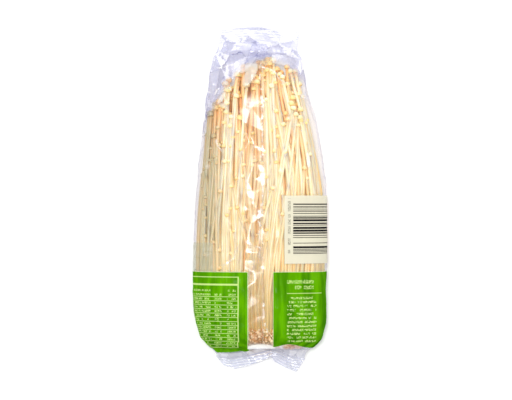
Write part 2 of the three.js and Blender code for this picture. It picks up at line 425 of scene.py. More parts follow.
class Effects:
    """The node groups that several materials share."""

    DIRT: Colour = (0.24, 0.09, 0.03)
    BOX_BLUR = 0.12
    RULE_BLUR = 0.06

    def __init__(self) -> None:
        """Builds every group once."""
        self.flesh = self.build_flesh()
        self.box = self.build_box()
        self.rules = self.build_rules()
        self.words = self.build_words()

    def build_flesh(self) -> bpy.types.NodeTree:
        """Builds moist mushroom flesh: soft mottling, faint fibres along Y, brown specks and painted shade
        taken in as Ripe.
        """
        takes = {"Point": "Vector", "Pale": "Color", "Deep": "Color"}
        takes |= dict.fromkeys(("Tone", "Ripe", "Earth"), "Float")
        gives = {"Color": "Color", "Roughness": "Float", "Height": "Float"}
        tree, g, given, out = new_group("moist_flesh", takes, gives)
        point, earth = given["Point"], given["Earth"]
        mottle = g.noise(point, 160.0, 3.0)
        fibre = g.noise(point, 900.0, stretch=(1.0, 0.06, 1.0))
        shares = ((mottle, 0.5), (fibre, 0.1), (given["Tone"], 0.8), (given["Ripe"], 0.5))
        depth = g.plus(*(g.times(value, share) for value, share in shares))
        colour = g.mix(g.span(depth, 0.2, 1.1), given["Pale"], given["Deep"])
        specks = g.plus(g.noise(point, 1500.0), g.times(earth, 0.36))
        dirt = g.math("MULTIPLY", g.span(specks, 0.66, 0.8), earth, clamp=True)
        g.put(out["Color"], g.mix(dirt, colour, self.DIRT))
        g.put(out["Roughness"], g.span(mottle, 0.3, 0.7, 0.3, 0.48))
        g.put(out["Height"], g.plus(fibre, dirt))
        return tree

    def build_box(self) -> bpy.types.NodeTree:
        """Builds a printed box: a mask that is 1 inside four edges."""
        takes = dict.fromkeys(("U", "V", "Left", "Right", "Low", "High"), "Float")
        tree, g, given, out = new_group("printed_box", takes, {"Mask": "Float"})
        mask = 1.0
        for place, low, high in (("U", "Left", "Right"), ("V", "Low", "High")):
            past = [
                g.span(given[place], g.minus(given[edge], self.BOX_BLUR), g.plus(given[edge], self.BOX_BLUR))
                for edge in (low, high)
            ]
            mask = g.times(mask, g.minus(*past))
        g.put(out["Mask"], mask)
        return tree

    def build_rules(self) -> bpy.types.NodeTree:
        """Builds ruled lines: a mask that is 1 on lines at even steps."""
        takes = dict.fromkeys(("Along", "Step", "Wide"), "Float")
        tree, g, given, out = new_group("ruled_lines", takes, {"Mask": "Float"})
        step = given["Step"]
        place = g.times(g.math("FRACT", g.over(given["Along"], step)), step)
        off = g.math("ABSOLUTE", g.minus(place, g.times(step, 0.5)))
        half = g.times(given["Wide"], 0.5)
        g.put(out["Mask"], g.span(off, g.plus(half, self.RULE_BLUR), g.minus(half, self.RULE_BLUR)))
        return tree

    def build_words(self) -> bpy.types.NodeTree:
        """Builds rows of marks that stand where small print would, with no letters in them."""
        takes = dict.fromkeys(("U", "V", "Step", "Size", "Fill"), "Float")
        tree, g, given, out = new_group("greeked_words", takes, {"Mask": "Float"})
        row = g.math("FLOOR", g.over(given["V"], given["Step"]))
        across = g.over(given["U"], given["Size"])
        strokes = g.noise(g.combine(across, g.times(given["V"], 0.9), g.times(row, 7.3)), 1.9, 1.0)
        breaks = g.noise(g.combine(across, g.times(row, 3.7)), 0.33, 0.0)
        inked = g.times(g.span(strokes, 0.45, 0.56), g.span(breaks, 0.38, 0.42))
        lines = g.group(self.rules, Along=given["V"], Step=given["Step"], Wide=given["Fill"])["Mask"]
        g.put(out["Mask"], g.times(inked, lines))
        return tree


@dataclass(frozen=True)
class FleshFinish:
    """The look of one part of the mushrooms. Ranges are places in millimetres, from none to all."""

    name: str
    pale: Colour
    deep: Colour
    # Colour of painted shade in the depths of the bunch and under the caps
    shade: Colour
    earth: tuple[float, float] = (-76.0, -90.0)
    subsurface: float = 0.5
    relief: float = 0.25
    # Share of painted shade that darkens a cap from its apex down to its rim
    rim_shading: float = 0.0
    tanned: float = 0.9
    tan: Colour = (0.82, 0.51, 0.19)
    tan_along: tuple[float, float] = (60.0, -84.0)
    brown: Colour = (0.62, 0.35, 0.08)
    brown_along: tuple[float, float] = (-42.0, -70.0)
    brown_share: float = 0.45
    # Painted shade on the stems along the left side, where less light reaches them
    left_shade: Colour = (0.43, 0.36, 0.21)
    left_shade_across: tuple[float, float] = (-19.0, -31.0)
    left_shade_along: tuple[float, float] = (-60.0, 30.0)
    cells: float = 0.0
    cell_edge: Colour = (0.5, 0.24, 0.08)

    def build(self, effects: Effects) -> bpy.types.Material:
        """Builds the material.

        Args:
            effects: The shared node groups.

        Returns:
            The material.
        """
        material, g, shader = new_material(self.name)
        tone, rise, depth = g.split(g.carried("growth"))
        point = g.object_point()
        across, along, _ = g.place_in_mm(point)
        # Painted shade: caps turn darker and more orange from the apex down to the rim, where less light
        # falls
        rim_shade = g.times(g.minus(rise, 0.3), self.rim_shading)
        flesh = g.group(
            effects.flesh, Point=point, Tone=tone, Ripe=rim_shade, Earth=g.span(along, *self.earth),
            Pale=self.pale, Deep=self.deep,
        )
        tan = g.span(along, *self.tan_along, 0.0, self.tanned, smooth=False)
        brown = g.span(along, *self.brown_along, 0.0, self.tanned * self.brown_share)
        # Painted shade: stems on the left side are darkened toward grey olive, more so toward the caps
        beside = g.span(across, *self.left_shade_across, 0.0, 0.95)
        left_shade = g.times(beside, g.span(along, *self.left_shade_along, 0.55, 1.0))
        # Painted shade: mushrooms deeper in the bunch, the base, and the stems' necks and turned-in cap rims
        # under the caps take the shade colour
        inner = g.plus(depth, g.times(g.span(rise, 0.9, 1.0), 0.2))
        inner = g.math("MULTIPLY", inner, 1.3, clamp=True)
        colour = flesh["Color"]
        for share, other in ((tan, self.tan), (brown, self.brown), (left_shade, self.left_shade), (inner, self.shade)):
            colour = g.mix(share, colour, other)
        if self.cells:
            inputs = {"Vector": g.scaled(point, (1.0, 0.05, 1.0)), "Scale": 480.0}
            cells = g.add("ShaderNodeTexVoronoi", inputs, feature="DISTANCE_TO_EDGE")
            seam = g.span(cells.outputs["Distance"], 0.0, 0.22, self.cells, 0.0)
            colour = g.mix(seam, colour, self.cell_edge)
        g.put(shader.inputs["Base Color"], colour)
        g.put(shader.inputs["Roughness"], flesh["Roughness"])
        g.put(shader.inputs["Subsurface Weight"], self.subsurface)
        g.put(shader.inputs["Subsurface Radius"], (1.0, 0.6, 0.3))
        g.put(shader.inputs["Subsurface Scale"], 1.6 * MM)
        g.put(shader.inputs["Normal"], g.bump(flesh["Height"], self.relief, 0.15))
        return material


STEM_FINISH = FleshFinish("stem_skin", pale=(1.0, 0.89, 0.66), deep=(1.0, 0.61, 0.3), shade=(1.0, 0.5, 0.2))
CAP_FINISH = FleshFinish(
    "cap_skin", pale=(1.0, 0.95, 0.72), deep=(1.0, 0.7, 0.31), shade=(0.96, 0.56, 0.2), rim_shading=1.3,
)
BASE_FINISH = FleshFinish(
    "base_flesh", pale=(1.0, 0.7, 0.3), deep=(0.9, 0.5, 0.18), shade=(0.8, 0.4, 0.12),
    earth=(-84.0, -91.0), relief=0.8, cells=0.8,
)
CRUMB_FINISH = FleshFinish(
    "brown_crumbs", pale=(1.0, 0.8, 0.52), deep=(0.58, 0.24, 0.05), shade=(0.4, 0.16, 0.06),
    earth=(60.0, -400.0), subsurface=0.0, relief=1.0, tanned=0.0,
)


@dataclass(frozen=True)
class Mushroom:
    """Where one mushroom stands and how it grew."""

    angle: float
    depth: float
    tip: float
    cap: float
    sway: float
    phase: float
    lean: float = 0.0
    lean_power: float = 1.6
    bow: float = 0.0
    weave: float = 0.0
    girth: float = 1.0
    tone: float = 0.5


@dataclass(frozen=True)
class Layer:
    """A ring of mushrooms under the film."""

    depth: float
    pitch: float
    drop: tuple[float, float]
    skew: float
    lean: float = 0.0


@dataclass
class Bunch:
    """The bunch: every stem and cap, the base they share, and the crumbs left on it."""

    seed: int = 20
    base_y: float = -89.6
    root_y: float = -88.7
    root_deeper: float = 0.9
    free_y: float = -72.0
    skin: float = 1.15
    cap_radius: tuple[float, float] = (1.7, 2.5)
    cap_height: float = 1.2
    ball_height: float = 1.45
    stem_radius: float = 1.2
    neck_radius: float = 0.95
    sway: float = 0.35
    drift_reach: float = 3.6
    drift_wave: float = 0.16
    drift_phase: float = 2.1
    top_y: float = 88.0
    top_at: float = 0.26
    fall_left: float = 20.0
    fall_right: float = 40.0
    fall_power: float = 2.2
    lowest_tip: float = -52.0
    reference_y: float = -40.0
    stray: float = 0.5
    inmost: float = 0.8
    right_gap: float = 2.6
    gap_beside: tuple[float, float] = (0.55, 0.95)
    gap_from: tuple[float, float] = (-20.0, 40.0)
    gap_until: tuple[float, float] = (70.0, 92.0)
    sway_wave: float = 30.0
    weave_turns: float = 7.0
    girth: tuple[float, float] = (0.9, 1.28)
    bow: float = 1.2
    bow_of_lean: float = 0.4
    most_weave: float = 0.9
    cap_share: tuple[float, float] = (0.6, 0.78)
    cap_growth: float = 0.22
    cap_growth_along: tuple[float, float] = (30.0, 66.0)
    seen_cap: tuple[float, float] = (1.4, 1.85)
    seen_cap_growth: float = 0.5
    seen_cap_growth_along: tuple[float, float] = (36.0, 64.0)
    seen_depth: tuple[float, float] = (-0.5, 0.3)
    seen_lean: tuple[float, float] = (-4.5, 4.5)
    seen_lean_power: tuple[float, float] = (1.6, 4.0)
    seen_bow: tuple[float, float] = (-2.0, 2.0)
    seen_girth: tuple[float, float] = (0.92, 1.22)
    seen_tone: float = 0.6
    swelling: float = 0.05
    swelling_wave: float = 6.0
    deepest: float = 9.0
    stem_sides: int = 8
    stem_step: float = 8.0
    cap_sides: int = 12
    # Half width and height of each ring of a cap, as shares of its own
    cap_profile: tuple[tuple[float, float], ...] = (
        (0.5, 0.06), (0.84, 0.02), (0.96, 0.14), (1.0, 0.32),
        (0.96, 0.52), (0.84, 0.71), (0.63, 0.87), (0.34, 0.97),
    )
    layers: tuple[Layer, ...] = (
        Layer(0, 3.7, (3, 135), 1.9),
        Layer(3, 4.5, (0, 60), 1.7),
        Layer(6.6, 7.6, (0, 20), 1),
    )
    fillers: tuple[Layer, ...] = (
        Layer(0.3, 3.5, (4, 140), 1.3, 10.0),
        Layer(1.3, 2.6, (2, 110), 1.7, 9.0),
        Layer(2.3, 2.8, (0, 70), 1.7, 5.0),
        Layer(3.8, 2.7, (0, 50), 1.4, 3.0),
        Layer(5.8, 3.2, (0, 40), 1.3, 3.0),
        Layer(8.2, 5.0, (0, 40), 1.0, 2.0),
    )
    # x and y of each cap seen, then its lean, how late it bends and its depth, where these are known
    seen: tuple[tuple[float, ...], ...] = (
        (1.5, 85), (8, 87), (4.5, 80.5), (8, 78.5), (6.6, 70.6), (-13.6, 78), (-21.6, 72.3, -7, 4),
        (-20.3, 68.2, -5, 3), (-8, 71, 5, 3), (-2, 73), (-14.4, 64.3, 3, 4), (-20, 60.2, -3, 2),
        (-20.9, 54.4), (-17.5, 51.4), (-18.4, 46), (-31.5, 54.2, -4, 2), (-13.5, 42), (-16.2, 39, 5, 4),
        (-17.6, 33.6), (-21.8, 33.6), (-25, 34, -4, 3), (-4.6, 35.5), (-12, 31.2, -3, 3), (-27.6, 27.3),
        (-30.6, 24.6), (-21.8, 24.2), (-18.6, 24.2, 3, 4), (-26.6, 23.2), (-2.8, 24.6), (1.3, 23, 6, 3),
        (2.5, 29.8), (8.5, 30.6, 7, 3), (10.9, 39.4, 5, 3), (9.3, 55.1), (24.6, 56.2), (24.2, 51.3),
        (28.3, 35.5), (30.6, 28.5, 4, 3), (24.6, 66, 3, 3), (25.8, 72.4), (19, 80.2), (22.5, 80.2, 5, 3),
        (12, 18.2), (22.2, 14, -3, 3), (-10.4, 15), (-35, 9, -4, 3), (-33.3, 19.8, -12, 7),
        (-17.6, 9, -4, 5), (-33.2, 2, -3, 3), (-34.8, -5), (-33.4, -2.5), (-33.4, -10.3), (-33.8, -21.4),
        (-33.4, -33), (-28.3, -25.4), (-20.2, -8.5, -5, 4), (-17.8, -31.8), (-25, -40.9, -5, 4),
        (4.3, -17.7, 4, 4), (4.3, -23.8), (-16.1, -18.3, -6, 5), (-22, 48, -9, 4), (14, 47, -5, 3),
        (19, 60, 6, 3), (15, 30, -6, 3), (19.4, 57, 18, 2.4, -0.7), (21.5, 53, 18, 2.2, -0.6),
        (17, 50, 14, 2.4, -0.6), (23, 46, 14, 2.2, -0.7), (-10, 22, -9, 2.4, -0.5), (-14, -4, -10, 3, -0.6),
        (-9, -12, -9, 3, -0.6), (14, -8, 9, 2.4, -0.5), (-24, 6, 9, 3, -0.6), (-28, 40, -10, 3, -0.5),
        (8, 8, 10, 2.4, -0.6), (27, 20, 9, 2.4, -0.6),
    )
    mushrooms: list[Mushroom] = field(default_factory=list)

    @property
    def outer(self) -> float:
        """The least depth of a stem's middle under the outside of the film."""
        return self.skin + self.cap_radius[1]

    def spaced_angles(self, inset: float, pitch: float, random: Seeded) -> list[float]:
        """Spaces angles along the section's outline, each a little off its even place.

        Args:
            inset: Depth of the outline under the film.
            pitch: Spacing along it.
            random: The random numbers.

        Returns:
            The angles.
        """
        steps = 720
        turn = np.arange(steps + 1) / steps * TURN
        ring = BAG.point(self.reference_y, turn, inset)
        travelled = np.concatenate([[0], np.cumsum(np.linalg.norm(np.diff(ring, axis=0), axis=1))])
        count = math.floor(travelled[-1] / pitch + 0.5)
        angles = []
        for n in range(count):
            place = (n + 0.5 + (random.next() - 0.5) * self.stray) / count * travelled[-1]
            angles.append(float(np.searchsorted(travelled, place)) / steps * TURN)
        return angles

    def highest(self, angle: float) -> float:
        """Returns how far the rounded top of the bunch reaches at an angle."""
        away = float(powered(np.cos(angle), BAG.side_fullness)) - self.top_at
        fall = self.fall_left if away < 0 else self.fall_right
        return self.top_y - fall * abs(away) ** self.fall_power

    def place(self) -> None:
        """Places the mushrooms of the solids first, and the finer ones that fill in between them."""
        random = Seeded(self.seed)
        manner = Seeded(self.seed + 1)
        for layer in self.layers + self.fillers:
            for angle in self.spaced_angles(self.outer + layer.depth, layer.pitch, random):
                low, high = layer.drop
                drop = low + (high - low) * random.next() ** layer.skew
                cap = random.between(*self.cap_radius)
                sway = (random.next() - 0.5) * 2 * self.sway
                phase = random.next() * math.pi
                tip = max(self.highest(angle) - drop, self.lowest_tip)
                lean = manner.between(-layer.lean, layer.lean)
                bow = manner.between(-1, 1) * (self.bow + layer.lean * self.bow_of_lean)
                weave = manner.between(-1, 1) * min(self.most_weave, layer.lean)
                girth = manner.between(*self.girth)
                grown = smoothstep(tip, *self.cap_growth_along)
                cap *= manner.between(*self.cap_share) + self.cap_growth * grown
                self.mushrooms.append(
                    Mushroom(
                        angle, layer.depth, tip, cap, sway, phase, lean,
                        bow=bow, weave=weave, girth=girth, tone=manner.next(),
                    )
                )
        for x, y, *bend in self.seen:
            self.mushrooms.append(self.standing_at(x, y, bend, manner))

    def standing_at(self, x: float, y: float, bend: list[float], manner: Seeded) -> Mushroom:
        """Finds the mushroom of the outer layer whose cap shows at a place on the back.

        Args:
            x: The cap's x.
            y: The cap's y.
            bend: Its lean and how late it bends, where these are known.
            manner: The random numbers for how it grew.

        Returns:
            The mushroom.
        """
        grown = float(smoothstep(y, *self.seen_cap_growth_along))
        size = manner.between(*self.seen_cap) + self.seen_cap_growth * grown
        usual_depth = manner.between(*self.seen_depth)
        lean, power = bend[:2] or (manner.between(*self.seen_lean), manner.between(*self.seen_lean_power))
        depth = bend[2] if len(bend) > 2 else usual_depth
        one = Mushroom(
            angle=float(BAG.angle_over(y, x)), depth=depth, tip=y, cap=size, sway=0.0,
            phase=manner.next() * math.pi, lean=lean, lean_power=power, bow=manner.between(*self.seen_bow),
            girth=manner.between(*self.seen_girth), tone=self.seen_tone * manner.next(),
        )
        for _ in range(4):
            there = self.line(one, np.array([y]))[0]
            _, half, *_ = BAG.rows(np.array([y]), self.outer)
            one = replace(one, angle=one.angle + float((there[0] - x) / half[0]))
        return one

    def line(self, one: Mushroom, y: np.ndarray) -> np.ndarray:
        """Follows the middle of a stem, which keeps its place in the bunch as the bunch narrows.

        Args:
            one: The mushroom.
            y: Stations along it.

        Returns:
            A point at each station.
        """
        room = BAG.room(y)
        packed = np.minimum(1, room / BAG.room(self.reference_y))
        sunk = self.root_deeper * (1 - smoothstep(y, self.root_y, self.free_y))
        inset = np.minimum(self.outer + one.depth * packed + sunk, room * self.inmost)
        beside = smoothstep(math.cos(one.angle), *self.gap_beside)
        beside = beside * smoothstep(y, *self.gap_from) * (1 - smoothstep(y, *self.gap_until))
        inset = np.minimum(inset + self.right_gap * beside, room * self.inmost)
        risen = (y - self.root_y) / (self.top_y - self.root_y)
        grown = (y - self.root_y) / (one.tip - self.root_y)
        held = np.clip(grown, 0, 1)
        arch = np.sin(held * math.pi)
        x = BAG.point(y, one.angle, inset)[..., 0]
        wander = one.sway * risen * np.sin(one.phase + y / self.sway_wave)
        together = self.drift_reach * risen**2 * np.sin(self.drift_wave * x + self.drift_phase)
        own = one.lean * held**one.lean_power + one.bow * arch
        inset = inset + one.weave * np.sin(one.phase * 3 + grown * self.weave_turns) * arch
        half = BAG.rows(y, inset)[1]
        return BAG.point(y, one.angle - (wander + together + own) / half, inset)

    def rings(self, one: Mushroom) -> tuple[np.ndarray, np.ndarray, np.ndarray]:
        """Builds one stem's rings and finds where its cap sits.

        Args:
            one: The mushroom.

        Returns:
            The rings, the neck and the axes of the cap: side, above and heading.
        """
        neck_y = one.tip - one.cap * self.cap_height
        count = max(6, int((neck_y - self.root_y) / self.stem_step))
        y = np.linspace(self.root_y, neck_y, count)
        line = self.line(one, y)
        heading = np.gradient(line, axis=0)
        heading /= np.linalg.norm(heading, axis=1)[:, None]
        side = np.cross([0, 0, 1], heading)
        side /= np.linalg.norm(side, axis=1)[:, None]
        above = np.cross(heading, side)
        grown = np.linspace(0, 1, count)
        radius = (self.stem_radius + (self.neck_radius - self.stem_radius) * grown) * one.girth
        radius *= 1 + self.swelling * np.sin(one.phase * 9 + y / self.swelling_wave)
        turn = np.arange(self.stem_sides) / self.stem_sides * TURN
        across = side[:, None] * np.cos(turn)[None, :, None] + above[:, None] * np.sin(turn)[None, :, None]
        tube = line[:, None] + across * radius[:, None, None]
        return tube, line[-1], np.stack([side[-1], above[-1], heading[-1]])

    def growth(self, one: Mushroom, rise: np.ndarray) -> np.ndarray:
        """Returns tone, rise and depth for each point of a mushroom."""
        # The depth share turns into painted shade in the finishes
        deep = min(1.0, one.depth / self.deepest)
        return np.stack([np.full_like(rise, one.tone), rise, np.full_like(rise, deep)], axis=-1)

    def build_stems(self, finish: bpy.types.Material) -> bpy.types.Object:
        """Builds every stem as one piece."""
        points, faces, growth = [], [], []
        start = 0
        for one in self.mushrooms:
            tube, *_ = self.rings(one)
            rings, sides, _ = tube.shape
            faces += ring_faces(start, rings, sides)
            faces.append(tuple(start + i for i in reversed(range(sides))))
            faces.append(tuple(start + (rings - 1) * sides + i for i in range(sides)))
            points.append(tube.reshape(-1, 3))
            growth.append(self.growth(one, np.repeat(np.linspace(0, 1, rings), sides)))
            start += rings * sides
        obj = mesh_object("stems", np.concatenate(points), faces)
        point_values(obj, "growth", np.concatenate(growth))
        dress(obj, finish)
        return obj

    def build_caps(self, finish: bpy.types.Material) -> bpy.types.Object:
        """Builds every cap as one piece: a dome with its rim turned in over the neck."""
        profile = np.array(self.cap_profile)
        turn = np.arange(self.cap_sides) / self.cap_sides * TURN
        points, faces, growth = [], [], []
        start = 0
        manner = Seeded(self.seed + 2)
        for one in self.mushrooms:
            _, neck, axes = self.rings(one)
            side, above, heading = axes
            tilt = side * manner.between(-0.3, 0.3) + above * manner.between(-0.15, 0.25)
            heading = heading + tilt
            heading /= np.linalg.norm(heading)
            side = np.cross(above, heading)
            side /= np.linalg.norm(side)
            above = np.cross(heading, side)
            high = one.cap * self.ball_height
            squash = manner.between(0.9, 1.04)
            across = side * np.cos(turn)[:, None] * squash + above * np.sin(turn)[:, None] / squash
            rings = [neck + heading * up * high + across * one.cap * wide for wide, up in profile]
            points.append(np.concatenate(rings + [(neck + heading * high)[None]]))
            faces += ring_faces(start, len(profile), self.cap_sides)
            top = start + (len(profile) - 1) * self.cap_sides
            apex = top + self.cap_sides
            faces += [(top + i, top + (i + 1) % self.cap_sides, apex) for i in range(self.cap_sides)]
            faces.append(tuple(start + i for i in reversed(range(self.cap_sides))))
            rise = np.concatenate([np.repeat(1 - profile[:, 1], self.cap_sides), [0.0]])
            growth.append(self.growth(one, rise))
            start = apex + 1
        obj = mesh_object("caps", np.concatenate(points), faces)
        point_values(obj, "growth", np.concatenate(growth))
        dress(obj, finish)
        return obj

    def build_base(self, finish: bpy.types.Material) -> bpy.types.Object:
        """Builds the base that the stems grow from, down to its rough cut face."""
        around = 110
        turn = np.arange(around) / around * TURN
        inset = SmoothCurve(
            [self.base_y, -88.6, -86, -75, -67, -45, 30, 50],
            [5.6, 4.6, 4.0, 4.2, 5.4, 6.0, 6.0, 8.5],
        )
        foot = [self.base_y, -89.2, -88.6, -87.6, -86, -84, -82, -79]
        heart = [-76, -73, -70, -66, -60, -45, -20, 10, 30, 50]
        rings = [BAG.point(y, turn, inset(y)) for y in np.array(foot + heart)]
        rim = rings[0]
        middle = rim.mean(axis=0)
        for share in (0.85, 0.65, 0.45, 0.25, 0.1):
            rings.insert(0, middle + (rim - middle) * share)
        points = np.concatenate(rings)
        rough = noise_at(points, 2.2) * 0.5 + noise_at(points, 0.9, 7.0) * 0.25
        points[:, 1] += rough * (1 - smoothstep(points[:, 1], -89.0, -84.0))
        outward = points - np.array([0.0, -80.0, 13.0])
        points += outward / np.linalg.norm(outward, axis=1)[:, None] * rough[:, None]
        faces = ring_faces(0, len(rings), around)
        faces.append(tuple(reversed(range(around))))
        faces.append(tuple((len(rings) - 1) * around + i for i in range(around)))
        obj = mesh_object("base", points, faces)
        point_values(obj, "growth", np.tile([0.5, 0.3, 0.25], (len(points), 1)))
        dress(obj, finish)
        return obj

    def build(self, effects: Effects) -> list[bpy.types.Object]:
        """Places and builds the whole bunch.

        Args:
            effects: The shared node groups.

        Returns:
            Its pieces.
        """
        self.place()
        stems = self.build_stems(STEM_FINISH.build(effects))
        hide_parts("mushroom_bunch")
        caps = self.build_caps(CAP_FINISH.build(effects))
        base = self.build_base(BASE_FINISH.build(effects))
        crumbs = Crumbs(self.seed + 3, self.base_y).build(CRUMB_FINISH.build(effects))
        return [stems, caps, base, crumbs]


@dataclass(frozen=True)
class Crumbs:
    """The grains of growing medium that cling round the cut end."""

    seed: int
    base_y: float
    count: int = 760
    reach: float = 11.0
    below_cut: float = 0.4
    strip_until: float = 0.42
    strip_x: tuple[float, float] = (-11.0, 13.0)
    heel_until: float = 0.52
    heel_x: tuple[float, float] = (15.0, 31.0)
    heel_y: tuple[float, float] = (-91.6, -89.4)
    smallest: float = 0.35
    size_range: float = 0.95
    raggedness: float = 0.3

    def grain(self) -> tuple[np.ndarray, list[tuple[int, ...]]]:
        """Returns the corners and the faces of a plain grain, which has 20 sides."""
        golden = (1 + math.sqrt(5)) / 2
        corners = [(-1, golden, 0), (1, golden, 0), (-1, -golden, 0), (1, -golden, 0)]
        corners += [(0, -1, golden), (0, 1, golden), (0, -1, -golden), (0, 1, -golden)]
        corners += [(golden, 0, -1), (golden, 0, 1), (-golden, 0, -1), (-golden, 0, 1)]
        faces = [(0, 11, 5), (0, 5, 1), (0, 1, 7), (0, 7, 10), (0, 10, 11)]
        faces += [(1, 5, 9), (5, 11, 4), (11, 10, 2), (10, 7, 6), (7, 1, 8)]
        faces += [(3, 9, 4), (3, 4, 2), (3, 2, 6), (3, 6, 8), (3, 8, 9)]
        faces += [(4, 9, 5), (2, 4, 11), (6, 2, 10), (8, 6, 7), (9, 8, 1)]
        return np.array(corners) / math.hypot(1, golden), faces

    def place(self, random: Seeded) -> tuple[float, float]:
        """Draws where a grain lies: on the bare strip of the back, at the heel or anywhere round the end."""
        y = self.base_y + self.reach * random.next() ** 1.5 - self.below_cut
        angle = random.next() * TURN
        spot = random.next()
        if spot < self.strip_until:
            angle = float(BAG.angle_over(y, random.between(*self.strip_x)))
        elif spot < self.heel_until:
            y = random.between(*self.heel_y)
            angle = float(BAG.angle_over(y, random.between(*self.heel_x)))
        return y, angle

    def build(self, finish: bpy.types.Material) -> bpy.types.Object:
        """Builds the grains as one piece."""
        random = Seeded(self.seed)
        shape, sides = self.grain()
        corners = len(shape)
        points, faces, growth = [], [], []
        for k in range(self.count):
            y, angle = self.place(random)
            size = self.smallest + self.size_range * random.next() ** 1.6
            inset = random.between(1.9, 3.1) + 1.6 * (1 - smoothstep(y, self.base_y, -87.5))
            stretch = np.array([random.between(0.7, 1.2), random.between(0.7, 1.5), random.between(0.6, 1.0)])
            ragged = 1 + self.raggedness * noise_at(shape, 0.9, 3.1 * k)
            points.append(BAG.point(y, angle, inset) + shape * ragged[:, None] * stretch * size)
            faces += [tuple(corners * k + i for i in side) for side in sides]
            growth.append(np.tile([random.next(), 0.3, 0.0], (corners, 1)))
        obj = mesh_object("crumbs", np.concatenate(points), faces)
        point_values(obj, "growth", np.concatenate(growth))
        dress(obj, finish)
        return obj


class Filling:
    """What the film lies on."""

    def __init__(self, pieces: list[bpy.types.Object]) -> None:
        """Gathers the pieces' faces.

        Args:
            pieces: The pieces inside the film.
        """
        points, faces = [], []
        for piece in pieces:
            start = len(points)
            points += [vertex.co / MM for vertex in piece.data.vertices]
            faces += [[start + i for i in polygon.vertices] for polygon in piece.data.polygons]
        self.tree = BVHTree.FromPolygons(points, faces)

    def room(self, points: np.ndarray, inward: np.ndarray, reach: int) -> np.ndarray:
        """Measures how far the film can fall in at each of its points, evened out along the film.

        Args:
            points: The film's grid of points, in millimetres.
            inward: The direction in which each one falls.
            reach: How many grid steps the least room round a point counts.

        Returns:
            The distances.
        """
        most = 9.0
        found = np.full(points.shape[:-1], most)
        for place in np.ndindex(found.shape):
            distance = self.tree.ray_cast(Vector(points[place]), Vector(inward[place]), most)[3]
            if distance is not None:
                found[place] = distance
        for pick in (np.min, np.mean):
            for axis in (0, 1):
                edges = [(reach, reach) if axis == one else (0, 0) for one in (0, 1)]
                wide = np.pad(found, edges, mode="edge")
                found = pick(np.lib.stride_tricks.sliding_window_view(wide, 2 * reach + 1, axis), axis=-1)
        return found


@dataclass(frozen=True)
class Seal:
    """A crimped seal: its free edge and its inner edge from left to right, and its height."""

    level: float
    free: tuple[tuple[float, float], ...]
    inner: tuple[tuple[float, float], ...]

    @staticmethod
    def along(outline: tuple[tuple[float, float], ...], share: np.ndarray) -> np.ndarray:
        """Returns points at shares of an outline, as x and y."""
        place = np.clip(share, 0, 1) * (len(outline) - 1)
        at = np.arange(len(outline))
        return np.stack([np.interp(place, at, values) for values in zip(*outline)], axis=-1)


@dataclass(frozen=True)
class Patch:
    """An oval place on the film: its middle, half sizes, turn, tilt along Y and weight."""

    x: float
    y: float
    wide: float
    long: float
    turn: float = 0.0
    tilt: float = 0.0
    weight: float = 1.0

    def share(self, x: np.ndarray, y: np.ndarray) -> np.ndarray:
        """Returns the weight inside the oval and 0 outside it."""
        across = (x - self.x) * math.cos(self.turn) + (y - self.y) * math.sin(self.turn)
        along = (y - self.y) * math.cos(self.turn) - (x - self.x) * math.sin(self.turn)
        return self.weight * (1 - smoothstep(np.hypot(across / self.wide, along / self.long), 0.9, 1.2))

    def depth(self, y: float) -> float:
        """Returns how far the tilted place lies under the film's form at y."""
        return max(self.tilt * (self.y + self.long - y), self.tilt * (self.y - self.long - y), 0.0)


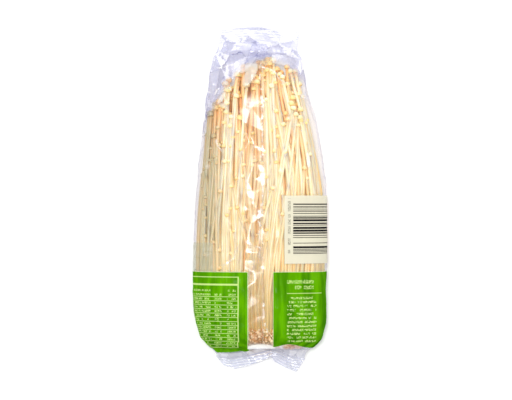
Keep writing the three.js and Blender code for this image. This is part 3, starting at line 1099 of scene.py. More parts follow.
class Facets:
    """A crumpled sheet: flat facets between scattered points, each point with its own depth."""

    cell = 0.4

    def __init__(
        self, low: tuple[float, float], high: tuple[float, float], steps: tuple[float, float], seed: int,
        depth_at: Callable[[np.ndarray, Seeded], float],
    ) -> None:
        """Scatters the points, joins them to triangles and lays the triangles on a fine grid.

        Args:
            low: Lowest x and y.
            high: Highest x and y.
            steps: Mean distance of the points along x and y.
            seed: Seed of the scatter.
            depth_at: Gives the depth of a point.
        """
        random = Seeded(seed)
        sites = []
        for j in range(int((high[1] - low[1]) / steps[1]) + 1):
            for i in range(int((high[0] - low[0]) / steps[0]) + 1):
                x = low[0] + (i + 0.5 * (j % 2) + random.between(-0.45, 0.45)) * steps[0]
                y = low[1] + (j + random.between(-0.45, 0.45)) * steps[1]
                sites.append(Vector((x, y)))
        depths = [depth_at(np.array(site), random) for site in sites]
        corners, _, triangles, first, *_ = geometry.delaunay_2d_cdt(sites, [], [], 0, 1e-6)
        self.low = np.array(low)
        shape = [int((b - a) / self.cell) + 2 for a, b in zip(low, high)]
        self.grid = np.zeros(shape)
        self.middle = np.zeros((*shape, 2))
        for triangle in triangles:
            place = np.array([corners[k] for k in triangle])
            self.fill(place, [depths[first[k][0]] for k in triangle])

    def fill(self, place: np.ndarray, depths: list[float]) -> None:
        """Lays one triangle on the grid.

        Args:
            place: Its corners.
            depths: Its depth at each corner.
        """
        middle = place.mean(axis=0)
        place = (place - self.low) / self.cell
        start = np.clip(np.floor(place.min(axis=0)).astype(int), 0, None)
        stop = np.minimum(np.ceil(place.max(axis=0)).astype(int) + 1, self.grid.shape)
        if (stop <= start).any():
            return
        i, j = np.meshgrid(np.arange(start[0], stop[0]), np.arange(start[1], stop[1]), indexing="ij")
        a, b, c = place
        area = (b[0] - a[0]) * (c[1] - a[1]) - (b[1] - a[1]) * (c[0] - a[0])
        to_b = ((i - a[0]) * (c[1] - a[1]) - (j - a[1]) * (c[0] - a[0])) / area
        to_c = ((b[0] - a[0]) * (j - a[1]) - (b[1] - a[1]) * (i - a[0])) / area
        inside = (to_b >= -0.01) & (to_c >= -0.01) & (to_b + to_c <= 1.01)
        value = depths[0] * (1 - to_b - to_c) + depths[1] * to_b + depths[2] * to_c
        part = self.grid[start[0] : stop[0], start[1] : stop[1]]
        part[inside] = value[inside]
        self.middle[start[0] : stop[0], start[1] : stop[1]][inside] = middle

    def __call__(self, x: np.ndarray, y: np.ndarray) -> np.ndarray:
        """Returns the depth at each point."""
        across = np.clip((x - self.low[0]) / self.cell, 0, self.grid.shape[0] - 1.001)
        along = np.clip((y - self.low[1]) / self.cell, 0, self.grid.shape[1] - 1.001)
        i, j = across.astype(int), along.astype(int)
        s, t = across - i, along - j
        near = self.grid[i, j] * (1 - s) + self.grid[i + 1, j] * s
        far = self.grid[i, j + 1] * (1 - s) + self.grid[i + 1, j + 1] * s
        return near * (1 - t) + far * t

    def middle_at(self, x: np.ndarray, y: np.ndarray) -> tuple[np.ndarray, np.ndarray]:
        """Returns the x and y of the middle of the facet that each point lies on."""
        i = np.clip(np.rint((x - self.low[0]) / self.cell).astype(int), 0, self.grid.shape[0] - 1)
        j = np.clip(np.rint((y - self.low[1]) / self.cell).astype(int), 0, self.grid.shape[1] - 1)
        return self.middle[i, j, 0], self.middle[i, j, 1]


LOWER_SEAL = Seal(
    4.75,
    ((-22.8, -102.4), (-16, -105), (-6.4, -102.8), (7, -97.4), (8.8, -100.2), (15, -103.6), (22.4, -107)),
    ((-27, -97.2), (-18, -98), (-7, -96.2), (6.4, -92.8), (10.6, -93.4), (18, -96.6), (27.8, -98.8)),
)
UPPER_SEAL = Seal(
    2.55,
    ((-23.4, 105.2), (-12.3, 106.5), (-1, 107), (7, 105.3), (15.4, 104.2), (24.4, 103.8)),
    ((-26, 96.6), (-13, 97.6), (-1, 98), (7, 97), (15.4, 96), (23.2, 95.2)),
)


@dataclass
class FilmBag:
    """The film: one sheet wrapped round the bunch, lapped along the back and crimped at both ends."""

    inner_edge_x: float = 3.2
    rise_from_x: float = 7.0
    flap_edge_x: float = -9.2
    lift: float = 0.45
    around: int = 230
    closer_on_back: float = 0.45
    evened: int = 4
    clearance: float = 0.25
    flap_columns: int = 20
    body_rows: int = 300
    seal_rows: int = 40
    crimp_step: float = 1.6
    crimp_height: float = 0.16
    crumple_depth: float = 0.85
    slack_depth: float = 3.2
    foot_depth: float = 2.4
    foot_along: tuple[float, float] = (-95.0, -86.0)
    slack_along: tuple[float, float] = (80.0, 92.0)
    panels_along: tuple[float, float] = (-60.0, -40.0)
    lap_middle: float = -5.0
    crumple_beside: tuple[float, float] = (8.0, 22.0)
    ribs_beside: tuple[float, float] = (9.0, 16.0)
    taut_share: float = 0.97
    rib_depth: float = 0.12
    panel_rib_depth: float = 0.2
    slack_rib_depth: float = 0.25
    swell_depth: float = 0.25
    slack_swell_depth: float = 0.9
    held_at_foot: tuple[float, float] = (-97.0, -93.0)
    held_at_head: tuple[float, float] = (91.0, 97.0)
    held_below: float = 0.85
    held_at_edge: float = 0.8
    crease_width: tuple[float, float] = (0.15, 0.7)
    back_above: float = 8.0
    ripple_step: float = 3.3
    weld_gap: float = 0.12
    fold_step: float = 6.5
    taut: tuple[Patch, ...] = (
        Patch(-5.8, 56, 6.4, 13, 0.0, 0.075),
        Patch(-4.5, 29, 5.0, 2.6, 0.5, 0.01),
        Patch(-5.5, 19, 6.2, 3.6, -0.2),
        Patch(-4.5, 2, 5.2, 5.4, 0.2),
        Patch(-4.8, -46, 5.4, 10, 0.1, -0.03),
    )
    # Places past the caps where the film stays clear, without milk and without painted reflection
    windows: tuple[Patch, ...] = (
        Patch(-8.5, 92, 9.0, 6.0, 0.12),
        Patch(6.5, 92.5, 5.6, 4.6),
        Patch(-16, 96, 1.6, 4.2, -0.5),
        Patch(-22, 99.5, 3.6, 2.8, -0.7),
        Patch(-26.5, 90, 2.2, 5),
        Patch(24.5, 89, 2.0, 5, 0.35),
        Patch(-29.5, 71, 6.5, 12, -0.35),
        Patch(31, 62, 4.0, 18, 0.2),
        Patch(-19, 83, 4.6, 3.6, 0.3),
        Patch(-29, 80, 3.6, 4.0, 0.3),
    )
    # Whitened places: milky film and painted highlights; the one at x 29.4, y 24 is a painted glint alone
    veils_and_glints: tuple[Patch, ...] = (
        Patch(-6.0, 76.5, 3.0, 8.0, -0.5, weight=0.62),
        Patch(-8.6, 81.0, 1.8, 5.0, -0.8, weight=0.7),
        Patch(-2.5, 87.0, 9.0, 1.1, 0.3, weight=0.7),
        Patch(-23.5, 62, 1.3, 4.4, -0.6, weight=0.7),
        Patch(11, 86, 4.0, 1.3, -0.1, weight=0.6),
        Patch(19, 47, 2.2, 8.0, 0.12, weight=0.3),
        Patch(29.4, 24, 1.1, 5.0, 0.12, weight=0.9),
        Patch(-32.2, 20, 1.8, 1.5, 0.5, weight=0.45),
        Patch(-22.6, 57.5, 2.4, 1.4, -0.4, weight=0.55),
        Patch(0.5, -91.2, 9.0, 2.9, weight=1.0),
    )
    foot_window: Patch = Patch(24, -90.6, 9.5, 1.9, weight=0.8)
    # Lines of the fine creases on the back, drawn white in the material only: stress-whitened film and
    # painted glints
    creases: tuple[tuple[tuple[float, float], ...], ...] = (
        ((0.7, 70.2), (2.1, 60.2), (10.0, 55.2), (17.2, 49.5), (25.7, 41.7)),
        ((1.4, 81.6), (8.6, 78.8), (12.9, 73.1), (18.6, 67.4), (24.3, 64.5), (33.6, 61.0)),
        ((24.3, 64.5), (29.0, 60.5), (32.0, 58.5)),
        ((-30.7, 81.6), (-22.9, 80.8), (-15.7, 83.1)),
        ((-33.2, 66.7), (-27.9, 63.8), (-25.0, 70.3), (-20.7, 76.7)),
        ((0.2, 84.0), (0.8, 66.0), (1.8, 44.0), (0.4, 20.0), (1.9, 2.0), (0.0, -7.3)),
        ((0.0, -7.3), (-1.4, -12.3), (1.1, -16.6), (-1.1, -21.6), (0.4, -29.4), (-1.4, -38.0)),
        ((-8.6, -25.9), (-5.7, -28.7), (0.7, -28.4)),
        ((2.5, -60.9), (1.8, -68.0), (2.6, -74.0), (4.3, -82.3)),
        ((-22.0, -40.0), (-16.0, -36.0), (-13.0, -28.0)),
        ((12.0, -34.0), (16.0, -30.0), (17.5, -24.0)),
        ((-27.0, 36.0), (-23.0, 28.0), (-24.0, 18.0)),
    )
    back: Facets = field(init=False)
    front: Facets = field(init=False)

    def columns(self, y: np.ndarray) -> tuple[np.ndarray, np.ndarray]:
        """Returns the angle and the lift of every column at each station."""
        start = BAG.angle_over(y, self.inner_edge_x)
        rise = BAG.angle_over(y, self.rise_from_x) + TURN
        even = np.linspace(0, 1, self.around)
        share = even - self.closer_on_back * np.sin(even * TURN) / TURN
        wrap = start[:, None] + (rise - start)[:, None] * share
        x = np.linspace(self.rise_from_x, self.flap_edge_x, self.flap_columns + 1)[1:]
        flap = np.stack([BAG.angle_over(y, one) + TURN for one in x], axis=1)
        lifted = self.lift * smoothstep(-x, -self.rise_from_x, -self.inner_edge_x)
        lift = np.concatenate([np.zeros(self.around), lifted])
        return np.concatenate([wrap, flap], axis=1), np.broadcast_to(lift, (len(y), len(lift)))

    def slackness(self, x: np.ndarray, y: np.ndarray) -> np.ndarray:
        """Returns 0 where the film lies on the bunch and 1 past the caps."""
        return smoothstep(y + SLACK_CURVE * (x - SLACK_MIDDLE) ** 2, *self.slack_along)

    def crumpling(self, place: np.ndarray, random: Seeded) -> float:
        """Draws how deep the film falls in at one of the scattered points.

        Args:
            place: The point's x and y.
            random: The random numbers.

        Returns:
            Its depth, in millimetres.
        """
        x, y = place
        beside = smoothstep(abs(x - self.lap_middle), *self.crumple_beside)
        slack = self.slackness(x, y)
        low = 1 - smoothstep(y, *self.foot_along)
        most = self.crumple_depth * (1.3 - 0.3 * beside) + self.slack_depth * slack + self.foot_depth * low
        depth = most * random.next() ** 0.8
        for patch in self.taut:
            share = patch.share(x, y)
            depth = depth * (1 - self.taut_share * share) + patch.depth(y) * share
        return float(depth)

    def folds(self, p: np.ndarray) -> np.ndarray:
        """Measures how far the film falls in at each point.

        Args:
            p: Points on the smooth form.

        Returns:
            Depths, all of them 0 or more.
        """
        x, y, z = p[..., 0], p[..., 1], p[..., 2]
        slack = self.slackness(x, y)
        bent = noise_at(p, 22.0, 41.0) * 1.6
        place = (x + z + bent) / self.ripple_step
        ripple = np.abs(place - np.floor(place) - 0.5) * 2
        soft = 0.5 + 0.5 * noise_at(p, 26.0, 51.0)
        beside = smoothstep(np.abs(x - self.lap_middle), *self.ribs_beside)
        on_panels = (1 - smoothstep(y, *self.panels_along)) * beside
        ribs = self.rib_depth * beside + self.panel_rib_depth * on_panels + self.slack_rib_depth * slack
        crumple = np.where(z > self.back_above, self.back(x, y), self.front(x, y))
        swell = self.swell_depth * beside + self.slack_swell_depth * slack
        return crumple + ripple * ribs + soft * swell

    def haze_and_sheen(self, p: np.ndarray) -> np.ndarray:
        """Measures how milky the film is at each point, one value to a facet; past the caps the same values
        paint the facets' reflections, and the veils add painted glints.

        Args:
            p: Points on the film.

        Returns:
            Values from 0, clear, to 1, milky and painted white.
        """
        here = p[..., 0], p[..., 1]
        x, y = self.back.middle_at(*here)
        uneven = 0.5 + 0.5 * np.sin(x * 12.9 + y * 78.2)
        clear = np.max([window.share(x, y) for window in self.windows], axis=0)
        veiled_and_glinting = np.max([whitened_place.share(*here) for whitened_place in self.veils_and_glints], axis=0) * smoothstep(p[..., 2], 9, 15)
        least = 0.3 + 0.5 * smoothstep(y, 93, 99)
        # Past the caps each facet is whitened by its own share: milky film and painted reflection
        top = self.slackness(x, y) * (1 - clear) * (least + (1 - least) * uneven)
        foot = (1 - smoothstep(p[..., 1], -90, -86)) * (0.25 + 0.5 * uneven)
        foot = foot * (1 - self.foot_window.share(*here))
        return np.clip(np.max([top, foot, veiled_and_glinting], axis=0), 0, 1)

    def creased(self, p: np.ndarray) -> np.ndarray:
        """Returns 1 on the fine creases pressed into the back and 0 away from them; their white lines are
        partly stress-whitened film and partly painted glints.
        """
        place = p[..., :2] + noise_at(p, 5.0, 61.0)[..., None]
        nearest = np.full(place.shape[:-1], 9.0)
        for glinting_crease in self.creases:
            corners = np.array(glinting_crease)
            for start, step in zip(corners, np.diff(corners, axis=0)):
                share = np.clip((place - start) @ step / (step @ step), 0, 1)
                away = place - start - share[..., None] * step
                nearest = np.minimum(nearest, np.linalg.norm(away, axis=-1))
        return (1 - smoothstep(nearest, *self.crease_width)) * (p[..., 2] > self.back_above)

    def flat_x(self, p: np.ndarray) -> np.ndarray:
        """Measures the way along the film from x = 0 on the back, round either side of the pack.

        Args:
            p: The tube's grid of points.

        Returns:
            The place of each across the sheet as printed, in millimetres.
        """
        rows = np.arange(len(p))
        steps = np.linalg.norm(np.diff(p, axis=1), axis=2)
        travelled = np.concatenate([np.zeros((len(p), 1)), np.cumsum(steps, axis=1)], axis=1)
        quarter = self.around // 4
        first = np.argmin(np.abs(p[:, :quarter, 0]), axis=1)
        last = np.argmin(np.abs(p[:, 3 * quarter :, 0]), axis=1) + 3 * quarter
        from_first, from_last = (travelled - travelled[rows, at][:, None] for at in (first, last))
        return np.where(np.arange(p.shape[1]) < self.around // 2, -from_first, -from_last)

    def body(self, filling: Filling) -> tuple[np.ndarray, np.ndarray]:
        """Builds the tube of film between the seals.

        Args:
            filling: What the film lies on.

        Returns:
            Its grid of points, and the flat place of each on the sheet as printed, in millimetres.
        """
        y = np.linspace(BAG.y[0], BAG.y[-1], self.body_rows)
        angle, lift = self.columns(y)
        p = BAG.point(y[:, None], angle, 0.0)
        flat = self.flat_x(p)
        p = self.reach_seals(p, y)
        normal = np.cross(np.gradient(p, axis=1), np.gradient(p, axis=0))
        normal /= np.linalg.norm(normal, axis=2)[..., None] + 1e-9
        normal *= np.sign((normal * (p - p.mean(axis=1)[:, None])).sum(axis=2).mean())
        ends = smoothstep(y, *self.held_at_foot) * (1 - smoothstep(y, *self.held_at_head))
        bottom = 1 - self.held_below * smoothstep(-np.sin(angle), 0.5, 0.75)
        at_edge = smoothstep(np.abs(np.cos(angle)), 0.85, 1.0) * smoothstep(y, 60, 80)[:, None]
        edge = 1 - self.held_at_edge * at_edge
        depth = self.folds(p) * ends[:, None] * bottom * edge
        room = filling.room(p, -normal, self.evened) - self.clearance
        p = p - normal * np.clip(depth, 0, np.maximum(room, 0))[..., None]
        p[..., 2] = np.maximum(p[..., 2], 0.0) + lift
        return p, np.stack([flat, np.broadcast_to(y[:, None], flat.shape)], axis=-1)

    def reach_seals(self, p: np.ndarray, y: np.ndarray) -> np.ndarray:
        """Draws the ends of the tube to the inner edges of the seals."""
        for seal, near in ((LOWER_SEAL, 1 - smoothstep(y, -97, -91)), (UPPER_SEAL, smoothstep(y, 86, 97))):
            end = p[0 if seal is LOWER_SEAL else -1]
            share = (p[..., 0] - p[..., 0].min(axis=1)[:, None]) / np.ptp(p[..., 0], axis=1)[:, None]
            goal = seal.along(seal.inner, share)
            p[..., 1] += near[:, None] * (goal[..., 1] - end[0, 1])
            p[..., 0] += (near**2)[:, None] * (goal[..., 0] - p[..., 0])
        return p

    def seal_strip(self, edge: np.ndarray, seal: Seal, outward: bool) -> np.ndarray:
        """Carries the film on from its end through a crimped seal to the free edge.

        Args:
            edge: The last row of the tube.
            seal: The seal.
            outward: True if rows run away from the pack.

        Returns:
            The rows.
        """
        share = (edge[:, 0] - edge[:, 0].min()) / np.ptp(edge[:, 0])
        free = seal.along(seal.free, share)
        side = np.where(edge[:, 2] > (edge[:, 2].max() + edge[:, 2].min()) / 2, 1.0, -1.0)
        rows = []
        for t in np.linspace(0, 1, self.seal_rows + 1)[1:]:
            xy = edge[:, :2] + (free - edge[:, :2]) * t
            far = np.abs(free[:, 1] - edge[:, 1]) * t
            settle = smoothstep(np.array([t]), 0.0, 0.22)[0]
            ridge = self.crimp_height * np.sin(far / self.crimp_step * TURN) * settle
            level = seal.level + side * self.weld_gap + ridge
            crossing = np.abs((xy[:, 0] * 0.8 + xy[:, 1] * 0.5) / self.fold_step % 1 - 0.5)
            curl = 0.4 * np.sin(xy[:, 0] * 0.21 + 1.0) * t * t + 0.8 * (crossing - 0.25) * settle
            z = edge[:, 2] * (1 - settle) + level * settle + curl
            rows.append(np.column_stack([xy, z]))
        return np.array(rows if outward else rows[::-1])

    def build(self, effects: Effects, filling: Filling) -> None:
        """Builds the film as one piece with its printed places.

        Args:
            effects: The shared node groups.
            filling: What the film lies on.
        """
        low, high = (-46.0, -100.0), (46.0, 107.0)
        self.back = Facets(low, high, (5.2, 7.0), 5, self.crumpling)
        self.front = Facets(low, high, (8.0, 11.0), 6, self.crumpling)
        tube, flat = self.body(filling)
        foot = self.seal_strip(tube[0], LOWER_SEAL, False)
        head = self.seal_strip(tube[-1], UPPER_SEAL, True)
        points = np.concatenate([foot, tube, head])
        ends = [np.repeat(row[None], self.seal_rows, axis=0) for row in (flat[0], flat[-1])]
        flat = np.concatenate([ends[0], flat, ends[1]])
        flat[: self.seal_rows, :, 1] = foot[..., 1]
        flat[-self.seal_rows :, :, 1] = head[..., 1]
        rows, columns, _ = points.shape
        corners = [k * columns + i for k in range(rows - 1) for i in range(columns - 1)]
        obj = mesh_object("film", points, [(a, a + columns, a + columns + 1, a + 1) for a in corners])
        self.lay_flat(obj, flat)
        crimp = np.zeros((rows, columns))
        crimp[: self.seal_rows] = self.crimps(foot, tube[0])
        crimp[-self.seal_rows :] = self.crimps(head, tube[-1])
        sheet = np.stack([self.haze_and_sheen(points), crimp, self.creased(points)], axis=-1)
        point_values(obj, "sheet", sheet.reshape(-1, 3))
        dress(obj, FilmFinish().build(effects))
        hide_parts("film_bag")

    def crimps(self, strip: np.ndarray, edge: np.ndarray) -> np.ndarray:
        """Returns 1 on the ridges of a crimped seal and on its cut edge, and 0 between them."""
        far = np.abs(strip[..., 1] - edge[None, :, 1])
        ridges = 0.5 + 0.5 * np.sin(far / self.crimp_step * TURN)
        cut = smoothstep(far / far.max(axis=0), 0.96, 1.0)
        return np.maximum(ridges, cut)

    def lay_flat(self, obj: bpy.types.Object, flat: np.ndarray) -> None:
        """Stores the sheet's flat place on every face corner.

        Args:
            obj: The film.
            flat: Flat x and y of every vertex. The left half of the wrap counts from the seam to the
                left and the right half to the right, so the corners at their border get their own x.
        """
        rows, columns, _ = flat.shape
        half = self.around // 2
        uv = obj.data.uv_layers.new(name="flat").data
        border = flat[:, half - 1, 0] - 1.0
        loops = np.array([loop.vertex_index for loop in obj.data.loops])
        values = flat.reshape(-1, 2)[loops].astype(np.float32)
        left_face = np.repeat(np.tile(np.arange(columns - 1), rows - 1) == half - 1, 4)
        on_border = left_face & (loops % columns == half)
        values[on_border, 0] = border[loops[on_border] // columns]
        uv.foreach_set("uv", values.ravel())


@dataclass(frozen=True)
class FilmPrint:
    """What is printed on the film, in millimetres on the flat sheet.

    A box gives its left, right, low and high edge. Each method returns a mask.
    """

    g: Graph
    effects: Effects
    u: Socket
    v: Socket
    far: float = 200.0
    panel_high: float = -44.3
    left_panel_edge: float = -7.4
    right_panel_edge: float = 8.4
    row: float = 2.52
    rule_width: float = 0.34
    ruled: Box = (-62, -13.6, -91, -57)
    columns: tuple[Box, ...] = ((-20.6, -15, -91, -54.5), (-28.4, -23.8, -91, -57), (-62, -31, -91, -54))
    borders: tuple[Box, ...] = (
        (-13.9, -13.2, -92, -47),
        (-62, -13.2, -47.5, -47),
        (-62, -13.9, -52.4, -51.3),
        (-62, -13.2, -92, -91.5),
    )
    heading: Box = (16.8, 34, -55.6, -48.5)
    heading_rule: Box = (16.8, 40, -57.4, -57)
    small_print: Box = (16.8, 36, -87.5, -58.5)
    label: Box = (15.2, 50, -39.2, 2.3)
    bar_area: Box = (20.6, 48, -34, -2.6)
    bar_module: float = 0.42
    bar_gaps: float = 0.52
    digit_row: Box = (17, 19.5, -33, 0.6)
    milky: Box = (-58, -29.3, -44, -26.4)
    lap: Box = (-9.2, 2.1, -97, 62)
    welds: tuple[Box, ...] = ((1.5, 2.1, -97, 97), (-9.2, -8.7, -97, 97))

    def box(self, left: Value, right: Value, low: Value, high: Value) -> Value:
        """Fills a box."""
        edges = {"Left": left, "Right": right, "Low": low, "High": high}
        return self.g.group(self.effects.box, U=self.u, V=self.v, **edges)["Mask"]

    def words(
        self, step: float, size: float, fill: float, shift: float = 0.0, upright: bool = False,
    ) -> Value:
        """Fills the sheet with rows of marks.

        Args:
            step: From one row to the next.
            size: Width of a mark.
            fill: Height of a row.
            shift: How far the rows are moved down.
            upright: True if the rows run up the sheet.

        Returns:
            The mask.
        """
        along, down = (self.v, self.u) if upright else (self.u, self.v)
        down = self.g.plus(down, shift)
        return self.g.group(self.effects.words, U=along, V=down, Step=step, Size=size, Fill=fill)["Mask"]

    def panels(self, across: Value, rim: float = 0.0) -> Value:
        """Fills the two panels, each grown by a rim, down to their slanted and curved lower edges."""
        g = self.g
        left_low = g.span(across, -34, -26, -90.0, -95.0)
        right_low = g.minus(g.span(across, 8, 17, -90.6, -88.8), g.span(across, 17, 34, 0.0, 3.4))
        high = self.panel_high + rim
        return g.either(
            self.box(-self.far, self.left_panel_edge + rim, left_low, high),
            self.box(self.right_panel_edge - rim, self.far, right_low, high),
        )

    def table(self) -> Value:
        """Rules the left panel's table and fills its columns with marks."""
        g = self.g
        rules = g.group(self.effects.rules, Along=self.v, Step=self.row, Wide=self.rule_width)["Mask"]
        words = self.words(self.row, 0.8, 1.2, self.row / 2)
        columns = g.either(*(self.box(*column) for column in self.columns))
        borders = (self.box(*border) for border in self.borders)
        return g.either(g.times(rules, self.box(*self.ruled)), g.times(words, columns), *borders)

    def notes(self) -> Value:
        """Fills the right panel with a large heading, a rule and rows of small marks."""
        g = self.g
        heading = g.times(self.words(3.4, 1.5, 2.2, 0.9), self.box(*self.heading))
        lines = g.times(self.words(2.45, 1.2, 1.35), self.box(*self.small_print))
        return g.either(heading, self.box(*self.heading_rule), lines)

    def bars(self) -> Value:
        """Fills the label with bars of random widths."""
        module = self.g.math("FLOOR", self.g.over(self.v, self.bar_module))
        drawn = self.g.add("ShaderNodeTexWhiteNoise", {"W": module}, noise_dimensions="1D").outputs["Value"]
        return self.g.times(self.g.math("GREATER_THAN", drawn, self.bar_gaps), self.box(*self.bar_area))

    def digits(self) -> Value:
        """Fills the row beside the bars with marks."""
        return self.g.times(self.words(2.6, 0.5, 1.7, 1.3, upright=True), self.box(*self.digit_row), 0.7)


@dataclass(frozen=True)
class BareFilm:
    """Masks of the film without its print.

    They show where it is slack past the caps, gathered at the foot, either of the two, turned from the
    eye by a share or clearly, milky and painted with reflections and glints, crimped, creased and painted
    with glints, and double.
    """

    slack: Socket
    foot: Socket
    loose: Socket
    edge: Socket
    aslant: Socket
    haze_and_sheen: Socket
    crimp: Socket
    glinting_crease: Socket
    lap: Socket


@dataclass(frozen=True)
class FilmFinish:
    """The look of the film: clear and glossy, milky where it crumples, painted with reflections on its slack
    facets and with glints on its creases and a few places, and covered where it is printed.
    """

    over_bunch: Colour = (0.4, 0.3, 0.2)
    aslant: Colour = (0.36, 0.36, 0.6)
    slack: Colour = (0.18, 0.19, 0.5)
    foot: Colour = (0.4, 0.42, 0.58)
    lap: Colour = (0.36, 0.2, 0.1)
    milk_and_sheen: Colour = (1.0, 0.97, 0.87)
    loose_milk_and_sheen: Colour = (0.9, 0.9, 0.96)
    crimp: Colour = (0.5, 0.52, 0.68)
    # Partly stress-whitened film, partly painted glint on the creases
    glinting_crease: Colour = (0.97, 0.94, 0.88)
    rim: Colour = (0.8, 0.86, 0.5)
    green: Colour = (0.1, 0.34, 0.0005)
    # Painted shade in the ink's drapes and painted shadow in its folds
    shaded_green: Colour = (0.04, 0.18, 0.0005)
    fold_shadow_green: Colour = (0.02, 0.1, 0.0005)
    reversed_out: Colour = (0.7, 0.84, 0.32)
    milky: Colour = (0.42, 0.44, 0.31)
    cream: Colour = (0.67, 0.64, 0.5)
    black: Colour = (0.012, 0.01, 0.012)
    rim_width: float = 0.35
    slack_along: tuple[float, float] = (82.0, 90.0)
    foot_along: tuple[float, float] = (-88.0, -93.0)
    ring_y: float = -68.0
    ring_size: tuple[float, float] = (24.0, 13.0)
    coat_roughness: float = 0.19
    coat_ior: float = 2.2

    def bare_film(self, g: Graph, ink: FilmPrint, across: Value, along: Value, broken: Value) -> BareFilm:
        """Finds the masks of the bare film.

        Args:
            g: The material's graph.
            ink: The print.
            across: The surface's x, in millimetres.
            along: The surface's y, in millimetres.
            broken: Noise that breaks up fine lines.

        Returns:
            The masks.
        """
        haze_and_sheen, crimp, glinting_crease = g.split(g.carried("sheet"))
        edge = g.add("ShaderNodeLayerWeight", {"Blend": 0.35}).outputs["Facing"]
        bow = g.squared(g.math("ABSOLUTE", g.minus(across, SLACK_MIDDLE)))
        slack = g.span(g.plus(along, g.times(bow, SLACK_CURVE)), *self.slack_along)
        foot = g.span(along, *self.foot_along)
        welded = g.either(*(ink.box(*weld) for weld in ink.welds))
        line_from = g.span(foot, 0.0, 1.0, 0.42, -0.3)
        return BareFilm(
            slack=slack,
            foot=foot,
            loose=g.either(slack, foot),
            edge=edge,
            aslant=g.span(edge, 0.14, 0.5),
            haze_and_sheen=g.either(haze_and_sheen, g.times(welded, 0.25)),
            crimp=g.times(g.span(crimp, 0.55, 0.95), g.span(broken, line_from, 0.6)),
            glinting_crease=g.times(glinting_crease, g.span(broken, 0.36, 0.58)),
            lap=ink.box(*ink.lap),
        )

    def bare_alpha(self, g: Graph, film: BareFilm) -> Value:
        """Returns how much the bare film covers."""
        return g.plus(
            g.span(film.loose, 0.0, 1.0, 0.06, 0.2),
            g.times(g.squared(film.edge), 0.26),
            g.times(film.aslant, 0.13),
            g.times(film.haze_and_sheen, g.span(film.loose, 0.0, 1.0, 0.66, 0.45)),
            g.times(film.crimp, 0.15),
            g.times(film.glinting_crease, 0.34),
            g.times(film.lap, 0.05),
        )

    def bare_colour(self, g: Graph, film: BareFilm) -> Value:
        """Returns the colour of the bare film."""
        colour = g.mix(film.aslant, self.over_bunch, self.aslant)
        for share, other in (
            (film.slack, self.slack),
            (film.foot, self.foot),
            (g.times(film.lap, 0.8), self.lap),
            (film.haze_and_sheen, g.mix(film.loose, self.milk_and_sheen, self.loose_milk_and_sheen)),
            (film.crimp, self.crimp),
            (film.glinting_crease, self.glinting_crease),
        ):
            colour = g.mix(share, colour, other)
        return colour

    def green_ink(self, g: Graph, effects: Effects, point: Value, streak: Value) -> Value:
        """Returns the green of the panels, with painted shade in its drapes and streaks and painted shadow in
        the folds near the foot.
        """
        across, along, up = g.place_in_mm(point)
        # Painted shade from streak and drape noise, and painted fold shadows in diagonal lines near the foot
        drape = g.noise(point, 150.0, 1.0, stretch=(1.0, 0.22, 1.0))
        streaks, drapes = g.span(streak, 0.35, 0.7, 0.0, 0.5), g.span(drape, 0.35, 0.65, 0.0, 0.6)
        shade = g.math("ADD", streaks, drapes, clamp=True)
        slant = g.minus(g.minus(across, g.times(along, 1.3)), 118.0)
        folds = g.times(
            g.group(effects.rules, Along=slant, Step=5.8, Wide=2.0)["Mask"],
            g.span(along, -83.5, -87), g.span(across, 16, 18), g.span(up, 11, 14), 0.6,
        )
        return g.mix(folds, g.mix(shade, self.shaded_green, self.green), self.fold_shadow_green)

    def front_ring(self, g: Graph, across: Value, along: Value, up: Value) -> Value:
        """Returns the mask of the pale oval ring on the underside."""
        wide, long = self.ring_size
        oval = g.plus(g.squared(g.over(across, wide)), g.squared(g.over(g.minus(along, self.ring_y), long)))
        ring = g.minus(g.span(oval, 0.78, 0.82), g.span(oval, 0.98, 1.02))
        return g.times(ring, g.span(up, 8, 6))

    def build(self, effects: Effects) -> bpy.types.Material:
        """Builds the material.

        Args:
            effects: The shared node groups.

        Returns:
            The material.
        """
        material, g, shader = new_material("clear_film")
        u, v, _ = g.split(g.add("ShaderNodeUVMap", uv_map="flat").outputs[0])
        ink = FilmPrint(g, effects, u, v)
        point = g.object_point()
        across, along, up = g.place_in_mm(point)
        broken = g.noise(point, 260.0, stretch=(0.5, 1.0, 1.0))
        crumple = g.noise(point, 240.0, 3.0)
        streak = g.noise(point, 420.0, stretch=(1.0, 0.12, 1.0))
        film = self.bare_film(g, ink, across, along, broken)

        panel = ink.panels(across)
        under = ink.panels(across, self.rim_width)
        milky, label, bars = ink.box(*ink.milky), ink.box(*ink.label), ink.bars()
        colour = self.bare_colour(g, film)
        for share, other in (
            (under, self.rim),
            (panel, self.green_ink(g, effects, point, streak)),
            (g.times(g.either(ink.table(), ink.notes()), 0.6, panel), self.reversed_out),
            (g.times(self.front_ring(g, across, along, up), panel), self.rim),
            (milky, self.milky),
            (label, self.cream),
            (g.either(bars, ink.digits()), self.black),
        ):
            colour = g.mix(share, colour, other)
        g.put(shader.inputs["Base Color"], colour)

        covers = ((panel, 0.998), (label, 0.88), (under, 0.6), (bars, 0.97))
        inked = g.either(*(g.times(mask, cover) for mask, cover in covers))
        g.put(shader.inputs["Alpha"], g.either(self.bare_alpha(g, film), g.times(milky, 0.34), inked))
        glossy = g.times(g.span(inked, 0.1, 0.8, 1.0, 0.012), g.span(broken, 0.34, 0.56, 0.12, 1.0))
        g.put(shader.inputs["Coat Weight"], glossy)
        g.put(shader.inputs["Coat Roughness"], self.coat_roughness)
        g.put(shader.inputs["Coat IOR"], self.coat_ior)
        g.put(shader.inputs["Roughness"], g.span(crumple, 0.3, 0.7, 0.12, 0.3))
        g.put(shader.inputs["Specular IOR Level"], 0.0)
        relief = g.plus(g.times(crumple, 0.7), g.times(streak, 0.4))
        g.put(shader.inputs["Normal"], g.bump(relief, 0.5, 0.6))
        return material


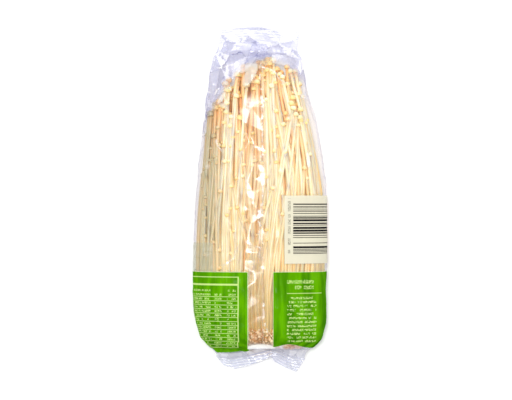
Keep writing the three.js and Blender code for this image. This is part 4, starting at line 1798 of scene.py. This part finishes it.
@dataclass(frozen=True)
class Softbox:
    """A square soft light that faces the pack: its place and side in metres, and its power in watts."""

    name: str
    place: tuple[float, float, float]
    side: float
    power: float

    def hang(self) -> None:
        """Hangs the light in the scene."""
        lamp = bpy.data.lights.new(self.name, "AREA")
        lamp.shape = "SQUARE"
        lamp.size = self.side
        lamp.energy = self.power
        obj = bpy.data.objects.new(self.name, lamp)
        obj.location = self.place
        obj.rotation_euler = (-Vector(self.place)).to_track_quat("-Z", "Y").to_euler()
        bpy.context.scene.collection.objects.link(obj)


@dataclass(frozen=True)
class Studio:
    """The pale floor, the soft lights and the camera."""

    scale: float = 0.615
    picture_width: int = 512
    picture_middle: tuple[float, float] = (256, 200)
    pack_middle: tuple[float, float] = (260, 199.25)
    plane_height: float = 12.0
    camera_height: float = 1100.0
    sensor: float = 36.0
    floor_size: float = 3000.0
    floor_level: float = -0.3
    sky: float = 0.56
    lights: tuple[Softbox, ...] = (
        Softbox("overhead", (-0.15, 0.19, 1.6), 0.28, 13.5),
        Softbox("left", (-1.3, 0.3, 1.0), 0.7, 3.0),
        Softbox("right", (1.3, -0.2, 1.1), 0.7, 3.0),
        Softbox("glint_left", (-0.7, 0.5, 1.4), 0.15, 1.2),
        Softbox("glint_right", (0.75, 0.3, 1.3), 0.15, 1.2),
        Softbox("glint_foot", (0.2, -0.9, 1.3), 0.15, 1.2),
        Softbox("glint_head", (0.3, 0.75, 1.5), 0.15, 1.2),
        Softbox("head_high", (-0.1, 1.05, 1.25), 0.22, 2.0),
        Softbox("head_low", (0.1, 1.4, 0.8), 0.25, 2.2),
        Softbox("glint_near", (0.35, -0.35, 1.6), 0.12, 0.9),
        Softbox("glint_far", (-0.5, -0.2, 1.6), 0.12, 0.9),
    )

    def build_floor(self) -> None:
        """Lays a plain pale floor under the pack."""
        half = self.floor_size / 2
        corners = [(x * half, y * half, self.floor_level) for x, y in ((-1, -1), (1, -1), (1, 1), (-1, 1))]
        floor = mesh_object("floor", np.array(corners), [(0, 1, 2, 3)])
        material, g, shader = new_material("pale_floor")
        cloud = g.noise(g.object_point(), 4.0)
        g.put(shader.inputs["Base Color"], g.mix(cloud, (0.7, 0.7, 0.7), (0.74, 0.74, 0.74)))
        g.put(shader.inputs["Roughness"], g.span(cloud, 0.0, 1.0, 0.8, 0.9))
        g.put(shader.inputs["Emission Color"], (1.0, 1.0, 1.0))
        g.put(shader.inputs["Emission Strength"], 0.18)
        floor.data.materials.append(material)

    def build_camera(self) -> None:
        """Looks straight down, framed as in the photograph."""
        camera = bpy.data.cameras.new("camera")
        camera.sensor_width = self.sensor
        seen = self.picture_width * self.scale
        camera.lens = self.sensor * (self.camera_height - self.plane_height) / seen
        camera.clip_end = 20.0
        obj = bpy.data.objects.new("camera", camera)
        x = (self.picture_middle[0] - self.pack_middle[0]) * self.scale
        y = (self.pack_middle[1] - self.picture_middle[1]) * self.scale
        obj.location = Vector((x, y, self.camera_height)) * MM
        bpy.context.scene.collection.objects.link(obj)
        bpy.context.scene.camera = obj

    def build_sky(self) -> None:
        """Lights everything a little from all sides."""
        world = bpy.data.worlds.new("studio")
        world.use_nodes = True
        background = world.node_tree.nodes["Background"]
        background.inputs["Color"].default_value = (1.0, 1.0, 1.0, 1.0)
        background.inputs["Strength"].default_value = self.sky
        bpy.context.scene.world = world

    def build(self) -> None:
        """Builds the floor, camera and lights."""
        self.build_floor()
        self.build_camera()
        for light in self.lights:
            light.hang()
        self.build_sky()
        bpy.context.scene.view_settings.view_transform = "Standard"
        bpy.context.scene.cycles.transparent_max_bounces = 16


def main() -> None:
    """Builds the pack and the studio, in order."""
    logging.basicConfig(level=logging.INFO, format="%(name)s: %(message)s")
    Studio().build()
    effects = Effects()
    filling = Filling(Bunch().build(effects))
    FilmBag().build(effects, filling)


if __name__ == "__main__":
    main()
